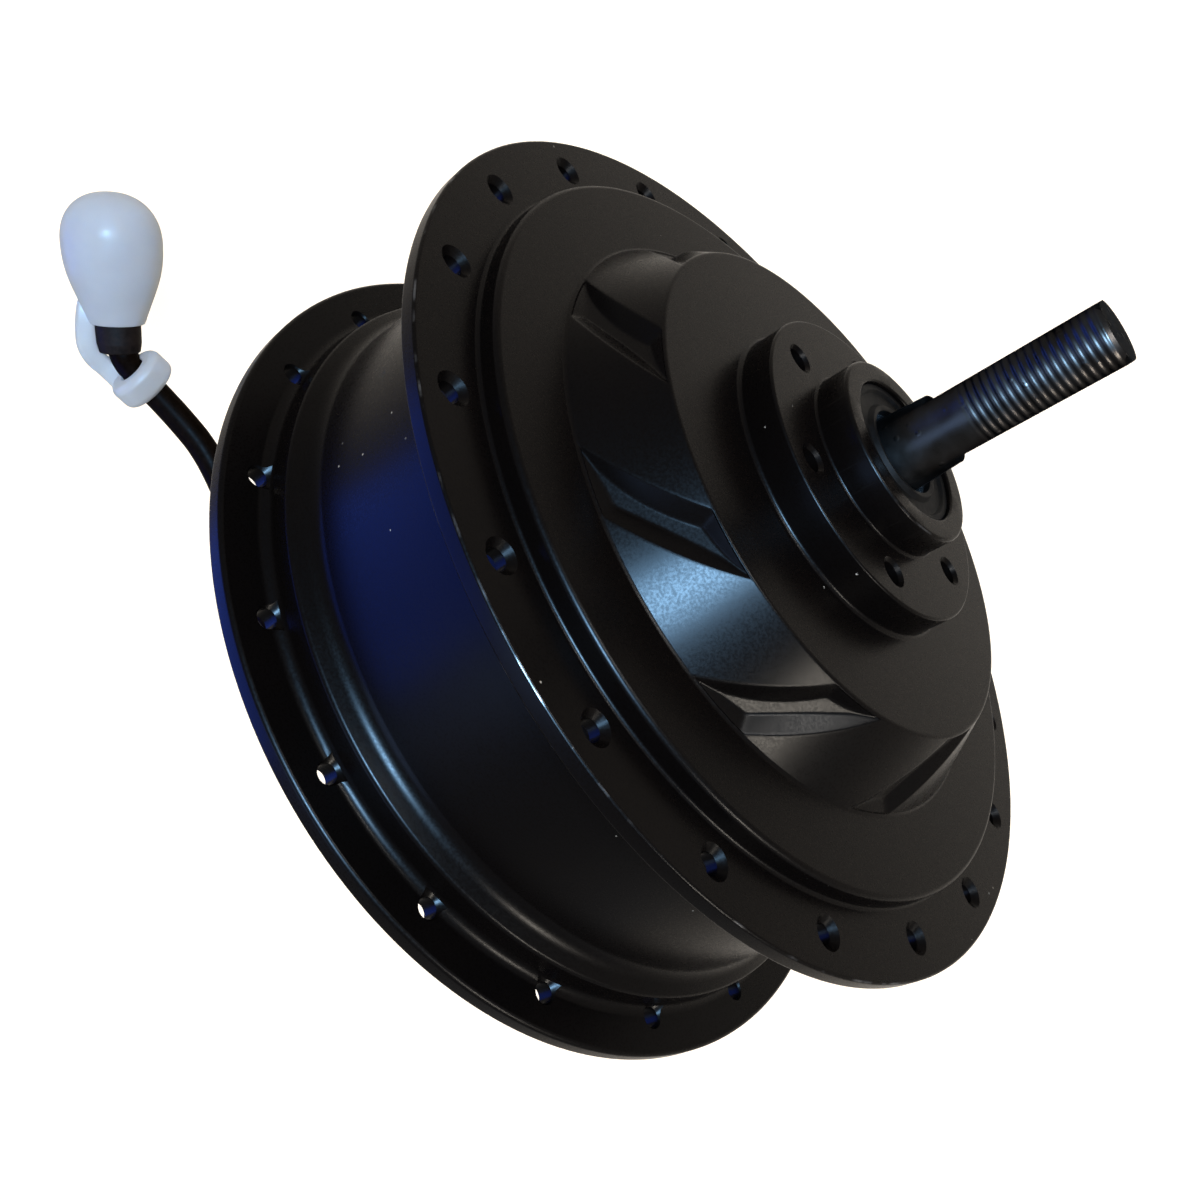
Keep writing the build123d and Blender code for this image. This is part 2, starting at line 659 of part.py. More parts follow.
with BuildPart() as planet_carrier:
    with BuildSketch(across(carrier_back)):
        Circle(CARRIER_HUB_D / 2)
        with PolarLocations(carrier_r / 2, PLANETS, start_angle=carrier_start):
            Rectangle(carrier_r, CARRIER_LOBE_D)
        with PolarLocations(carrier_r, PLANETS, start_angle=carrier_start):
            Circle(CARRIER_LOBE_D / 2)
            Circle(PIN_D / 2, mode=Mode.SUBTRACT)
    extrude(amount=CARRIER_T)
    tube(CARRIER_HUB_D / 2, 0, carrier_back, clutch_end)
    tube(CLUTCH_RACE_D / 2 + ROLLER_D, 0, carrier_face, clutch_end, mode=Mode.SUBTRACT)
nodes["planet_carrier"] = planet_carrier.part

with BuildPart() as clutch_race:
    tube(CLUTCH_RACE_D / 2, NEAR_JOURNAL_D / 2, carrier_face, race_end)
    extrude(key_seat.sketch, amount=KEY_H, mode=Mode.SUBTRACT)
nodes["clutch_race"] = clutch_race.part

with BuildPart() as clutch_rollers:
    with BuildSketch(across(clutch_end - ROLLER_END_GAP)):
        with PolarLocations((CLUTCH_RACE_D + ROLLER_D) / 2, ROLLERS):
            Circle(ROLLER_D / 2 - ROLLER_FIT)
    extrude(amount=clutch_end - carrier_face - 2 * ROLLER_END_GAP)
nodes["clutch_rollers"] = clutch_rollers.part

# Rotor bell, open towards the cover, with the magnets inside its rim
with BuildPart() as rotor_bell:
    turned([
        (SUN_HUB_D / 2, ROTOR_FACE),
        (ROTOR_D / 2, ROTOR_FACE),
        (ROTOR_D / 2, ROTOR_REACH),
        (ROTOR_D / 2 - ROTOR_WALL, ROTOR_REACH),
        (ROTOR_D / 2 - ROTOR_WALL, rotor_back),
        (ROTOR_HUB_D / 2, rotor_back),
        (ROTOR_HUB_D / 2, rotor_hub_end),
        (ROTOR_BEARING_D / 2, rotor_hub_end),
        (ROTOR_BEARING_D / 2, rotor_bearing_end),
        (SUN_HUB_D / 2, rotor_bearing_end),
    ])
nodes["rotor_bell"] = rotor_bell.part

magnet_outer_r = ROTOR_D / 2 - ROTOR_WALL
with BuildPart() as rotor_magnets:
    for index in range(MAGNETS):
        with BuildSketch(Plane.XY) as magnet_profile:
            with Locations((magnet_outer_r - MAGNET_T / 2, (STATOR_NEAR + STATOR_FAR) / 2)):
                Rectangle(MAGNET_T, STATOR_NEAR - STATOR_FAR + 2 * MAGNET_OVERHANG)
        turned_magnet = revolve(
            magnet_profile.sketch,
            axis=Axis.Y,
            revolution_arc=360 / MAGNETS - MAGNET_GAP_ANGLE,
            mode=Mode.PRIVATE,
        )
        add(turned_magnet.rotate(Axis.Y, 360 / MAGNETS * index))
nodes["rotor_magnets"] = rotor_magnets.part

# Stator: toothed core, one coil on each tooth, and the support that holds it on the axle
stator_r = magnet_outer_r - MAGNET_T - AIR_GAP
shoe_inner_r = stator_r - TOOTH_SHOE_T
with BuildPart() as stator_core:
    with BuildSketch(across(STATOR_NEAR)):
        Circle(stator_r)
        Circle(shoe_inner_r, mode=Mode.SUBTRACT)
        with PolarLocations(stator_r, STATOR_TEETH, start_angle=180 / STATOR_TEETH):
            Rectangle(4 * TOOTH_SHOE_T, TOOTH_MOUTH, mode=Mode.SUBTRACT)
        with PolarLocations((YOKE_OUTER_D / 2 + shoe_inner_r) / 2, STATOR_TEETH):
            Rectangle(shoe_inner_r - YOKE_OUTER_D / 2 + TOOTH_SHOE_T, TOOTH_NECK)
        Circle(YOKE_OUTER_D / 2)
        Circle(YOKE_INNER_D / 2, mode=Mode.SUBTRACT)
    extrude(amount=STATOR_NEAR - STATOR_FAR)
nodes["stator_core"] = stator_core.part

coil_inner_r = YOKE_OUTER_D / 2 + COIL_ROOT_GAP
coil_outer_r = shoe_inner_r - COIL_SHOE_GAP
coil_hole = TOOTH_NECK + 2 * COIL_CLEAR
coil_width = coil_hole + 2 * COIL_BUILD
coil_hole_height = STATOR_NEAR - STATOR_FAR + 2 * COIL_CLEAR
with BuildPart() as stator_coils:
    for index in range(STATOR_TEETH):
        tooth_plane = Plane(
            origin=on_turn(coil_outer_r, (STATOR_NEAR + STATOR_FAR) / 2, 360 / STATOR_TEETH * index),
            x_dir=(0, 1, 0),
            z_dir=-on_turn(1, 0, 360 / STATOR_TEETH * index),
        )
        with BuildSketch(tooth_plane):
            Rectangle(coil_hole_height + 2 * COIL_BUILD, coil_width)
            Rectangle(coil_hole_height, coil_hole, mode=Mode.SUBTRACT)
        extrude(amount=coil_outer_r - coil_inner_r)
nodes["stator_coils"] = stator_coils.part

web_middle = STATOR_FAR + SUPPORT_WEB_SET
with BuildPart() as stator_support:
    turned([
        (SEAT_D / 2, seat_start),
        (SUPPORT_HUB_D / 2, seat_start),
        (SUPPORT_HUB_D / 2, web_middle - SUPPORT_WEB_T / 2),
        (YOKE_INNER_D / 2 - SUPPORT_RIM_T, web_middle - SUPPORT_WEB_T / 2),
        (YOKE_INNER_D / 2 - SUPPORT_RIM_T, STATOR_FAR),
        (YOKE_INNER_D / 2, STATOR_FAR),
        (YOKE_INNER_D / 2, STATOR_NEAR),
        (YOKE_INNER_D / 2 - SUPPORT_RIM_T, STATOR_NEAR),
        (YOKE_INNER_D / 2 - SUPPORT_RIM_T, web_middle + SUPPORT_WEB_T / 2),
        (SUPPORT_HUB_D / 2, web_middle + SUPPORT_WEB_T / 2),
        (SUPPORT_HUB_D / 2, rotor_hub_end - SUPPORT_CLEAR),
        (SEAT_D / 2, rotor_hub_end - SUPPORT_CLEAR),
    ])
    with BuildSketch(across(web_middle + SUPPORT_WEB_T / 2)):
        with PolarLocations((SUPPORT_HUB_D + YOKE_INNER_D - 2 * SUPPORT_RIM_T) / 4, SUPPORT_HOLES):
            Circle(SUPPORT_HOLE_D / 2)
    extrude(amount=SUPPORT_WEB_T, mode=Mode.SUBTRACT)
nodes["stator_support"] = stator_support.part

with BuildPart() as sensor_board:
    with BuildSketch(across(STATOR_FAR - BOARD_GAP)):
        Circle(YOKE_OUTER_D / 2)
        Circle(YOKE_INNER_D / 2 - SUPPORT_RIM_T, mode=Mode.SUBTRACT)
        with Locations((0, -YOKE_OUTER_D / 2)):
            Rectangle(YOKE_OUTER_D, YOKE_OUTER_D, mode=Mode.SUBTRACT)
    extrude(amount=BOARD_T)
nodes["sensor_board"] = sensor_board.part

# Cable: grommet in the axle's end, then straight runs joined by tangent arcs
with BuildPart() as cable_grommet:
    turned([
        (0, far_tip + GROMMET_SEAT),
        (CABLE_BORE_D / 2, far_tip + GROMMET_SEAT),
        (CABLE_BORE_D / 2, far_tip),
        (GROMMET_D / 2, far_tip),
        (GROMMET_D / 2 - GROMMET_TAPER, far_tip - GROMMET_PROUD),
        (0, far_tip - GROMMET_PROUD),
    ])
nodes["cable_grommet"] = cable_grommet.part

route = [Vector(*point) for point in CABLE_ROUTE]
runs = [after - before for before, after in zip(route, route[1:])]
radii = []
for before, after in zip(runs, runs[1:]):
    half_turn = radians(before.get_angle(after)) / 2
    radii.append(0.45 * min(before.length, after.length) / tan(half_turn))
print("cable bend radii", [round(radius, 1) for radius in radii])
with BuildPart() as motor_cable:
    with BuildLine() as cable_path:
        FilletPolyline(*CABLE_ROUTE, radius=radii)
    with BuildSketch(Plane(origin=route[0], z_dir=runs[0])) as cable_section:
        RegularPolygon(CABLE_D / 2, CABLE_SIDES)
    sweep(path=cable_path.wire())
cable_length = cable_path.wire().length
volume_ratio = motor_cable.part.volume / (cable_length * cable_section.sketch.area)
print("cable length", round(cable_length, 2), "volume ratio", round(volume_ratio, 5))
nodes["motor_cable"] = motor_cable.part

# Connector on the cable's end: rubber boot, plug shell and contacts
plug_way = runs[-1].normalized()
plug_side = Vector(0, 0, 1).cross(plug_way)
plug_line = Axis(route[-1], plug_way)
plug_plane = Plane(origin=route[-1], x_dir=plug_side, z_dir=plug_way)
half_plane = Plane(origin=route[-1], x_dir=plug_side, z_dir=plug_side.cross(plug_way))


def along_plug(outline):
    """Turn a closed outline of (radius, distance past the cable's end) about the plug's line."""
    with BuildSketch(half_plane) as profile:
        with BuildLine():
            Polyline(*outline, close=True)
        make_face()
    return revolve(profile.sketch, axis=plug_line)


boot_end = BOOT_LENGTH - BOOT_SKIRT
plug_end = boot_end + PLUG_LENGTH
socket_floor = plug_end - CONTACT_LENGTH - SOCKET_FLOOR_T
with BuildPart() as connector_boot:
    along_plug([(0, -BOOT_SKIRT), (PLUG_D / 2, -BOOT_SKIRT), (PLUG_D / 2, boot_end), (0, boot_end)])
    add(motor_cable.part, mode=Mode.SUBTRACT)
nodes["connector_boot"] = connector_boot.part

with BuildPart() as connector_plug:
    along_plug([
        (0, boot_end),
        (PLUG_D / 2, boot_end),
        (PLUG_D / 2, plug_end),
        (PLUG_D / 2 - SOCKET_WALL, plug_end),
        (PLUG_D / 2 - SOCKET_WALL, socket_floor),
        (0, socket_floor),
    ])
nodes["connector_plug"] = connector_plug.part

with BuildPart() as connector_contacts:
    with BuildSketch(plug_plane.offset(socket_floor)):
        with PolarLocations(CONTACT_CIRCLE_D / 2, CONTACTS - 1):
            Circle(CONTACT_D / 2)
        Circle(CONTACT_D / 2)
    extrude(amount=CONTACT_LENGTH)
nodes["connector_contacts"] = connector_contacts.part


def bulb(wall, mode):
    """Turned bulb of the cap, drawn in from its skin by a wall: neck, flare, barrel and blunt crown."""
    mouth_r = PLUG_D / 2 + CAP_WALL - wall
    waist_r = CAP_D / 2 - wall
    neck_end = CAP_START + CAP_NECK
    crown_h = CAP_START + CAP_LENGTH - wall - CAP_WAIST
    outline = [(0, CAP_START), (mouth_r, CAP_START)]
    for ring in range(CAP_RINGS):
        turn = pi / 2 * ring / CAP_RINGS
        flare_r = mouth_r + (waist_r - mouth_r) * sin(turn)
        outline.append((flare_r, CAP_WAIST - (CAP_WAIST - neck_end) * cos(turn)))
    for ring in range(CAP_RINGS + 1):
        turn = pi / 2 * ring / CAP_RINGS
        crown_r = waist_r * abs(cos(turn)) ** (2 / CAP_CROWN_BLUNT)
        outline.append((crown_r, CAP_WAIST + crown_h * sin(turn) ** (2 / CAP_CROWN_BLUNT)))
    with BuildSketch(half_plane) as profile:
        with BuildLine():
            Polyline(*outline, close=True)
        make_face()
    return revolve(profile.sketch, axis=plug_line, mode=mode)


with BuildPart() as connector_cap:
    bulb(0, Mode.ADD)
    bulb(CAP_WALL, Mode.SUBTRACT)
nodes["connector_cap"] = connector_cap.part

# Strap of the cap, with the collar that the cable passes through
collar_way = (runs[-3].normalized() + runs[-2].normalized()).normalized()
strap_points = [Vector(*point) for point in STRAP_ROUTE]
strap_way = strap_points[1] - strap_points[0]
strap_side = strap_way.cross(strap_points[3] - strap_points[1]).cross(strap_way)
with BuildPart() as cap_strap:
    with BuildSketch(Plane(origin=route[-3] - collar_way * (COLLAR_W / 2), z_dir=collar_way)):
        Circle(COLLAR_D / 2)
    extrude(amount=COLLAR_W)
    with BuildLine() as strap_line:
        FilletPolyline(*STRAP_ROUTE, radius=STRAP_W * 0.4)
    with BuildSketch(Plane(origin=strap_points[0], x_dir=strap_side, z_dir=strap_way)):
        Rectangle(STRAP_W, STRAP_T)
    sweep(path=strap_line.wire())
    for neighbour in (motor_cable, connector_cap, connector_boot):
        add(neighbour.part, mode=Mode.SUBTRACT)
nodes["cap_strap"] = cap_strap.part

for name, part in nodes.items():
    part.label = name
    export_step(part, f"parts/{name}.step")
print(len(nodes), "nodes")
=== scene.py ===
import json
from math import atan2, cos, pi, radians, sin

import bmesh
import bpy
import numpy as np
from mathutils import Matrix, Vector


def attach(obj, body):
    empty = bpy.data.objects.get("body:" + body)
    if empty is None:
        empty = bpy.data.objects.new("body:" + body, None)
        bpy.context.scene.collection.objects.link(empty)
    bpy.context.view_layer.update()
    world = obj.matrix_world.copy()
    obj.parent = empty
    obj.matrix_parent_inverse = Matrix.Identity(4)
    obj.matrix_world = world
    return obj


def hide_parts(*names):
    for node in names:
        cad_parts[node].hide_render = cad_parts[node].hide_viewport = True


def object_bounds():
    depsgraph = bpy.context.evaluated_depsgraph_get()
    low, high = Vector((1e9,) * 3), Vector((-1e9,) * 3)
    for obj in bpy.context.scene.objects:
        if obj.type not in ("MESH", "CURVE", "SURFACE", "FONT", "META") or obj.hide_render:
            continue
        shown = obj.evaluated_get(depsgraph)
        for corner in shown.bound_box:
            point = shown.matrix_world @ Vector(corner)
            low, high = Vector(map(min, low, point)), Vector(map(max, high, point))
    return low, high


bl_info = {
    "name": "Hub Motor Finish",
    "version": (1, 0, 0),
    "blender": (4, 5, 0),
    "location": "View3D > Sidebar > Hub Motor",
    "description": "Builds the visible pieces, finishes and studio of a geared hub motor",
    "category": "Object",
}

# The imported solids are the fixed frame: metres, axle along Y, brake disc side +Y
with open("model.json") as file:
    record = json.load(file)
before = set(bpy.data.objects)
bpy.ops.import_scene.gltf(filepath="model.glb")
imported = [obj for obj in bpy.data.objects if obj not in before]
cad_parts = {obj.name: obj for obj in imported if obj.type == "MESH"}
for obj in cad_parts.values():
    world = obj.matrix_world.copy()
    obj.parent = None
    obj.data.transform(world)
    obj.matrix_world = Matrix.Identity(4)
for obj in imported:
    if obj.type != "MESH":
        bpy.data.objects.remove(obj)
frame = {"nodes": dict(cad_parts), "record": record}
cad_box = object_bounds()

MM = 0.001

# Shell outline in millimetres: the solid's own sizes, with a steeper slope at the far shoulder
NEAR_RIM_R = 78.5
NEAR_FACE = 14.5
NEAR_BACK = 11.5
FAR_RIM_R = 79.3
FAR_FACE = -35.0
FAR_BACK = -31.7
DRUM_R = 67.3
SHOULDER_R = 71.0
SHOULDER_W = 4.2
SHOULDER_SLOPE = (1.2, 3.4)
STEP_R = 67.0
STEP_TOP = 18.4
CONE_FOOT_R = 53.6
CONE_TOP_R = 45.0
CONE_TOP = 30.8
BOSS_R = 27.7
DISC_SEAT = 37.2
PILOT_R = 16.5
PILOT_END = 43.2
MOUTH_R = 12.7
MOUTH_FLOOR = 41.2
NEAR_SEAL_FACE = MOUTH_FLOOR + 1.2
BEARING_R = 14.0
INNER_TOP = 26.8
INNER_TOP_R = CONE_TOP_R - 5.0
INNER_FOOT_R = CONE_FOOT_R - 4.0
DRUM_INNER_R = 62.5
INNER_WALL = 13.0
LEDGE_R = 60.8
COVER_SEAT = -31.5
LEDGE_TOP = COVER_SEAT + 6.5
COVER_R = 68.0
POCKETS = 9
POCKET_FOOT = (22.4, 34.6)
POCKET_TOP = (41.8, 55.9)
POCKET_WALL_RUN = 2.8
CONE_BREAK = 0.4
SPOKE_HOLES = 18
NEAR_HOLES_R = 72.3
NEAR_HOLES_START = 18.0
FAR_HOLES_R = 72.9
FAR_HOLES_START = 8.6
FAR_SINK = 0.3
BACK_SINK = 0.1
DISC_BOLTS = 6
DISC_BOLTS_R = 22.0
DISC_BOLTS_START = 13.6
DISC_TAP_R = 2.1
DISC_TAP_DEPTH = 9.0
TAP_SINK = 0.6
COVER_SCREWS = 9
COVER_SCREWS_R = 64.2
SCREW_R = 1.5
SCREW_REACH = 5.0
SCREW_HEAD_H = 1.8
SOCKET_R = 1.15
SOCKET_DEPTH = 1.1

# Side cover
COVER_EDGE_R = 67.9
COVER_FLAT_R = 59.0
COVER_CROWN_R = 42.0
COVER_TOP = -41.0
COVER_HUB_R = 23.0
COVER_HUB_END = -47.0
COVER_T = 3.5
GASKET_T = 0.5
FAR_BEARING_R = 17.5
FAR_MOUTH_R = 16.2
FAR_MOUTH_FLOOR = -44.7
FAR_SEAL_FACE = FAR_MOUTH_FLOOR - 1.4
FAR_HOUSING_R = 20.5
FAR_HOUSING_END = -34.2

# Axle
SHOULDER_Y = 50.0
TIP_Y = 79.2
THREAD_R = 6.0
THREAD_RUNOUT = 5.5
FLAT_HALF = 5.0
FLAT_CUTTER = Vector((10, 40, 20))
TIP_CHAMFER = 0.8
NEAR_JOURNAL_R = 7.5
FAR_JOURNAL_R = 8.5
SEAT_R = 10.0
SEAT_START = -29.6
SEAT_END = -13.2
CABLE_BORE_R = 3.7
BORE_END = -30.7
GROMMET_DEPTH = 9.9
GROMMET_PLAY = 0.03
GROMMET_HEAD_R = 5.2
GROMMET_END_R = 4.5
LIP_PLAY = 0.06

# Cable centre line, from the grommet to the connector, in metres
CABLE_D = 0.007
CABLE_ROUTE = [
    (0.0, -0.0842, 0.0),
    (0.0, -0.098, 0.0),
    (-0.004, -0.1116, -0.004),
    (-0.014, -0.122, -0.010),
    (-0.0285, -0.1278, -0.0166),
    (-0.046, -0.1288, -0.022),
    (-0.0655, -0.126, -0.0256),
    (-0.0852, -0.1227, -0.026),
    (-0.098, -0.1232, -0.0234),
    (-0.1096, -0.1249, -0.021),
    (-0.1183, -0.1274, -0.021),
    (-0.1245, -0.1223, -0.021),
]

# Connector and its cap, in millimetres along the plug's line from the cable's end
BOOT_START = -7.4
BOOT_END = 1.6
PLUG_END = 16.6
PLUG_R = 5.6
CAP_START = -0.2
CAP_LIP = 0.9
CAP_BODY = [(0.6, 6.9), (2.0, 7.4), (4.4, 8.35), (6.8, 9.3), (9.2, 10.2),
            (11.6, 10.95), (14.0, 11.45), (16.5, 11.75), (19.0, 11.85)]
CAP_END = 31.2
CAP_BLUNT = 2.25
CAP_WALL = 1.6
CAP_PLAY = 0.06
COLLAR_BORE_R = 3.56
COLLAR_R = 7.5
COLLAR_W = 7.0
COLLAR_LEAN = Vector((0.0, 0.9, 1.3))
STRAP_W = 5.0
STRAP_T = 2.2
STRAP_SQUARE = (0.45, 0.6)
STRAP_SIDES = 20
STRAP_STEPS = 6
STRAP_ROUTE = [
    (-132.2, -121.1, -17.2),
    (-130.5, -123.2, -16.1),
    (-128.0, -125.2, -15.3),
    (-125.5, -127.2, -14.9),
    (-122.8, -129.0, -14.8),
    (-119.8, -130.1, -15.8),
    (-116.4, -130.5, -18.0),
    (-111.6, -130.2, -19.6),
]

# Studio, in metres
FLOOR_R = 4.0
FLOOR_GAP = 0.0002
LAMP_DISTANCE = 1.3

# Finishes by the record's slot name
made = {}


def linear(hex_colour):
    """A written sRGB colour as the linear RGBA that the shaders use."""
    shares = [int(hex_colour[at:at + 2], 16) / 255 for at in (1, 3, 5)]
    return tuple(c / 12.92 if c <= 0.04045 else ((c + 0.055) / 1.055) ** 2.4 for c in shares) + (1.0,)


def add_node(tree, kind, inputs=None, **settings):
    """Add a node with its options, and set each input or link it to a socket or a node's first output."""
    node = tree.nodes.new(kind)
    for name, value in settings.items():
        setattr(node, name, value)
    for name, value in (inputs or {}).items():
        if isinstance(value, bpy.types.Node):
            value = value.outputs[0]
        if isinstance(value, bpy.types.NodeSocket):
            tree.links.new(value, node.inputs[name])
        else:
            node.inputs[name].default_value = value
    return node


def in_scene(name, data):
    """A new object that holds the data and stands in the scene."""
    piece = bpy.data.objects.new(name, data)
    bpy.context.scene.collection.objects.link(piece)
    return piece


def per_metre(grain_mm):
    """Pattern scale whose lumps are about as wide as the given grain."""
    return 1 / (grain_mm * MM)


def new_finish(name, slot):
    """A material for a slot of the record: its node tree, and the place on the object that patterns read."""
    finish = bpy.data.materials.new(name)
    finish.use_nodes = True
    finish.node_tree.nodes.clear()
    made[slot] = finish
    return finish.node_tree, add_node(finish.node_tree, "ShaderNodeTexCoord").outputs["Object"]


def satin_black_paint(settings):
    """Cast aluminium under sprayed satin black paint.

    A deep warm black with a broad, slightly grainy sheen, faint orange peel, thin bright lines
    where the paint has rubbed off the rims, and a few specks of dust."""
    tree, place = new_finish("sprayed_satin_black_on_cast_aluminium", "black_casting")

    # Radius and height on the axle's line, so that the wear follows the rims and the pilot's edge
    parts = add_node(tree, "ShaderNodeSeparateXYZ", {"Vector": place})
    spoke = add_node(tree, "ShaderNodeCombineXYZ", {"X": parts.outputs["X"], "Z": parts.outputs["Z"]})
    radius = add_node(tree, "ShaderNodeVectorMath", {0: spoke}, operation="LENGTH").outputs["Value"]
    section = add_node(tree, "ShaderNodeCombineXYZ", {"X": radius, "Y": parts.outputs["Y"]})
    worn = None
    for edge_r, edge_y in ((NEAR_RIM_R, NEAR_FACE), (NEAR_RIM_R, NEAR_BACK), (FAR_RIM_R, FAR_FACE),
                           (FAR_RIM_R, FAR_BACK), (PILOT_R, PILOT_END)):
        gap = add_node(tree, "ShaderNodeVectorMath", {
            0: section, 1: (edge_r * MM, edge_y * MM, 0)}, operation="DISTANCE").outputs["Value"]
        line = add_node(tree, "ShaderNodeMapRange", {
            "Value": gap, "From Min": settings.wear_width * 0.4, "From Max": settings.wear_width,
            "To Min": 1.0, "To Max": 0.0})
        worn = line if worn is None else add_node(
            tree, "ShaderNodeMath", {0: worn, 1: line}, operation="MAXIMUM")
    patches = add_node(tree, "ShaderNodeTexNoise", {"Vector": place, "Scale": per_metre(5.0), "Detail": 4.0})
    patchy = add_node(tree, "ShaderNodeMapRange", {
        "Value": patches, "From Min": 0.52, "From Max": 0.74, "To Max": 0.7})
    rubbed = add_node(tree, "ShaderNodeMath", {0: worn, 1: patchy}, operation="MULTIPLY")

    # Dust: single grains, only in some places
    grains = add_node(tree, "ShaderNodeTexVoronoi", {"Vector": place, "Scale": per_metre(5.0)})
    speck = add_node(tree, "ShaderNodeMapRange", {
        "Value": grains, "From Min": 0.03, "From Max": 0.045, "To Min": 1.0, "To Max": 0.0})
    drift = add_node(tree, "ShaderNodeTexNoise", {"Vector": place, "Scale": per_metre(22.0), "Detail": 1.0})
    dusty = add_node(tree, "ShaderNodeMapRange", {
        "Value": drift, "From Min": 0.57, "From Max": 0.63, "To Max": 0.6})
    dust = add_node(tree, "ShaderNodeMath", {0: speck, 1: dusty}, operation="MULTIPLY")

    # A Mix node's colours go in at 6 and 7 and come out at 2
    mottle = add_node(tree, "ShaderNodeTexNoise", {"Vector": place, "Scale": per_metre(14.0), "Detail": 3.0})
    paint = add_node(tree, "ShaderNodeMix", {
        0: mottle, 6: settings.paint, 7: settings.paint_high}, data_type="RGBA")
    bare = add_node(tree, "ShaderNodeMix", {
        0: rubbed, 6: paint.outputs[2], 7: settings.bare_metal}, data_type="RGBA")
    colour = add_node(tree, "ShaderNodeMix", {
        0: dust, 6: bare.outputs[2], 7: linear("#D9D6CF")}, data_type="RGBA")
    grit = add_node(tree, "ShaderNodeTexNoise", {"Vector": place, "Scale": per_metre(0.4), "Detail": 1.0})
    rough = add_node(tree, "ShaderNodeMapRange", {
        "Value": grit, "From Min": 0.35, "From Max": 0.65,
        "To Min": settings.roughness - 0.03, "To Max": settings.roughness + 0.04})
    peel = add_node(tree, "ShaderNodeTexNoise", {"Vector": place, "Scale": per_metre(1.8), "Detail": 1.0})
    relief = add_node(tree, "ShaderNodeMath", {0: grit, 1: 0.22, 2: peel}, operation="MULTIPLY_ADD")
    bump = add_node(tree, "ShaderNodeBump", {"Height": relief, "Distance": 0.012 * MM, "Strength": 0.35})
    shader = add_node(tree, "ShaderNodeBsdfPrincipled", {
        "Base Color": colour.outputs[2], "Metallic": rubbed, "Roughness": rough,
        "Specular IOR Level": settings.sheen, "Normal": bump})
    add_node(tree, "ShaderNodeOutputMaterial", {"Surface": shader})


def blackened_steel(settings):
    """Turned carbon steel, chemically blackened and lightly oiled.

    Near-black metal with clear highlights, fine turning marks round the bar and beads of oil."""
    tree, place = new_finish("turned_blackened_oiled_steel", "axle_steel")
    lathe = add_node(tree, "ShaderNodeMapping", {"Vector": place, "Scale": (0.05, 1.0, 0.05)})
    rings = add_node(tree, "ShaderNodeTexNoise", {"Vector": lathe, "Scale": per_metre(0.25)})
    film = add_node(tree, "ShaderNodeTexNoise", {"Vector": place, "Scale": per_metre(5.0), "Detail": 3.0})
    drops = add_node(tree, "ShaderNodeTexVoronoi", {"Vector": place, "Scale": per_metre(2.6)})
    bead = add_node(tree, "ShaderNodeMapRange", {
        "Value": drops, "From Min": 0.05, "From Max": 0.22, "To Min": 1.0, "To Max": 0.0},
        interpolation_type="SMOOTHSTEP")
    colour = add_node(tree, "ShaderNodeMix", {
        0: film, 6: settings.steel, 7: settings.steel_high}, data_type="RGBA")
    rough = add_node(tree, "ShaderNodeMapRange", {
        "Value": film, "From Min": 0.3, "From Max": 0.7, "To Min": 0.27, "To Max": 0.40})
    relief = add_node(tree, "ShaderNodeMath", {0: rings, 1: 0.12, 2: bead}, operation="MULTIPLY_ADD")
    bump = add_node(tree, "ShaderNodeBump", {"Height": relief, "Distance": 0.08 * MM, "Strength": 0.6})
    shader = add_node(tree, "ShaderNodeBsdfPrincipled", {
        "Base Color": colour.outputs[2], "Metallic": 1.0, "Roughness": rough, "Normal": bump,
        "Specular Tint": linear("#484848")})
    add_node(tree, "ShaderNodeOutputMaterial", {"Surface": shader})


def translucent_silicone(settings):
    """Moulded natural silicone.

    Milky and soft-edged: light comes through the wall, what is inside shows as a dim shape, and
    the skin has a gentle satin shine."""
    tree, place = new_finish("moulded_translucent_silicone", "clear_silicone")
    cloud = add_node(tree, "ShaderNodeTexNoise", {"Vector": place, "Scale": per_metre(9.0)})
    skin = add_node(tree, "ShaderNodeTexNoise", {"Vector": place, "Scale": per_metre(1.2)})
    colour = add_node(tree, "ShaderNodeMix", {
        0: cloud, 6: settings.silicone, 7: settings.silicone_deep}, data_type="RGBA")
    rough = add_node(tree, "ShaderNodeMapRange", {
        "Value": skin, "From Min": 0.3, "From Max": 0.7, "To Min": 0.36, "To Max": 0.46})
    bump = add_node(tree, "ShaderNodeBump", {"Height": cloud, "Distance": 0.03 * MM, "Strength": 0.4})
    shader = add_node(tree, "ShaderNodeBsdfPrincipled", {
        "Base Color": colour.outputs[2], "Roughness": rough, "Normal": bump, "IOR": 1.2,
        "Specular IOR Level": 0.04, "Transmission Weight": settings.see_through, "Subsurface Weight": 0.5,
        "Coat Weight": 0.01, "Coat Roughness": 0.14,
        "Subsurface Radius": (0.004, 0.005, 0.006), "Subsurface Scale": 1.0})
    add_node(tree, "ShaderNodeOutputMaterial", {"Surface": shader})


# What a grain is drawn out to: nothing, long marks or wire turns along the axle, or thin layers across it
EVEN, MARKS, TURNS, LAYERS = (1.0, 1.0, 1.0), (1.0, 0.06, 1.0), (1.0, 0.2, 1.0), (0.1, 1.0, 0.1)

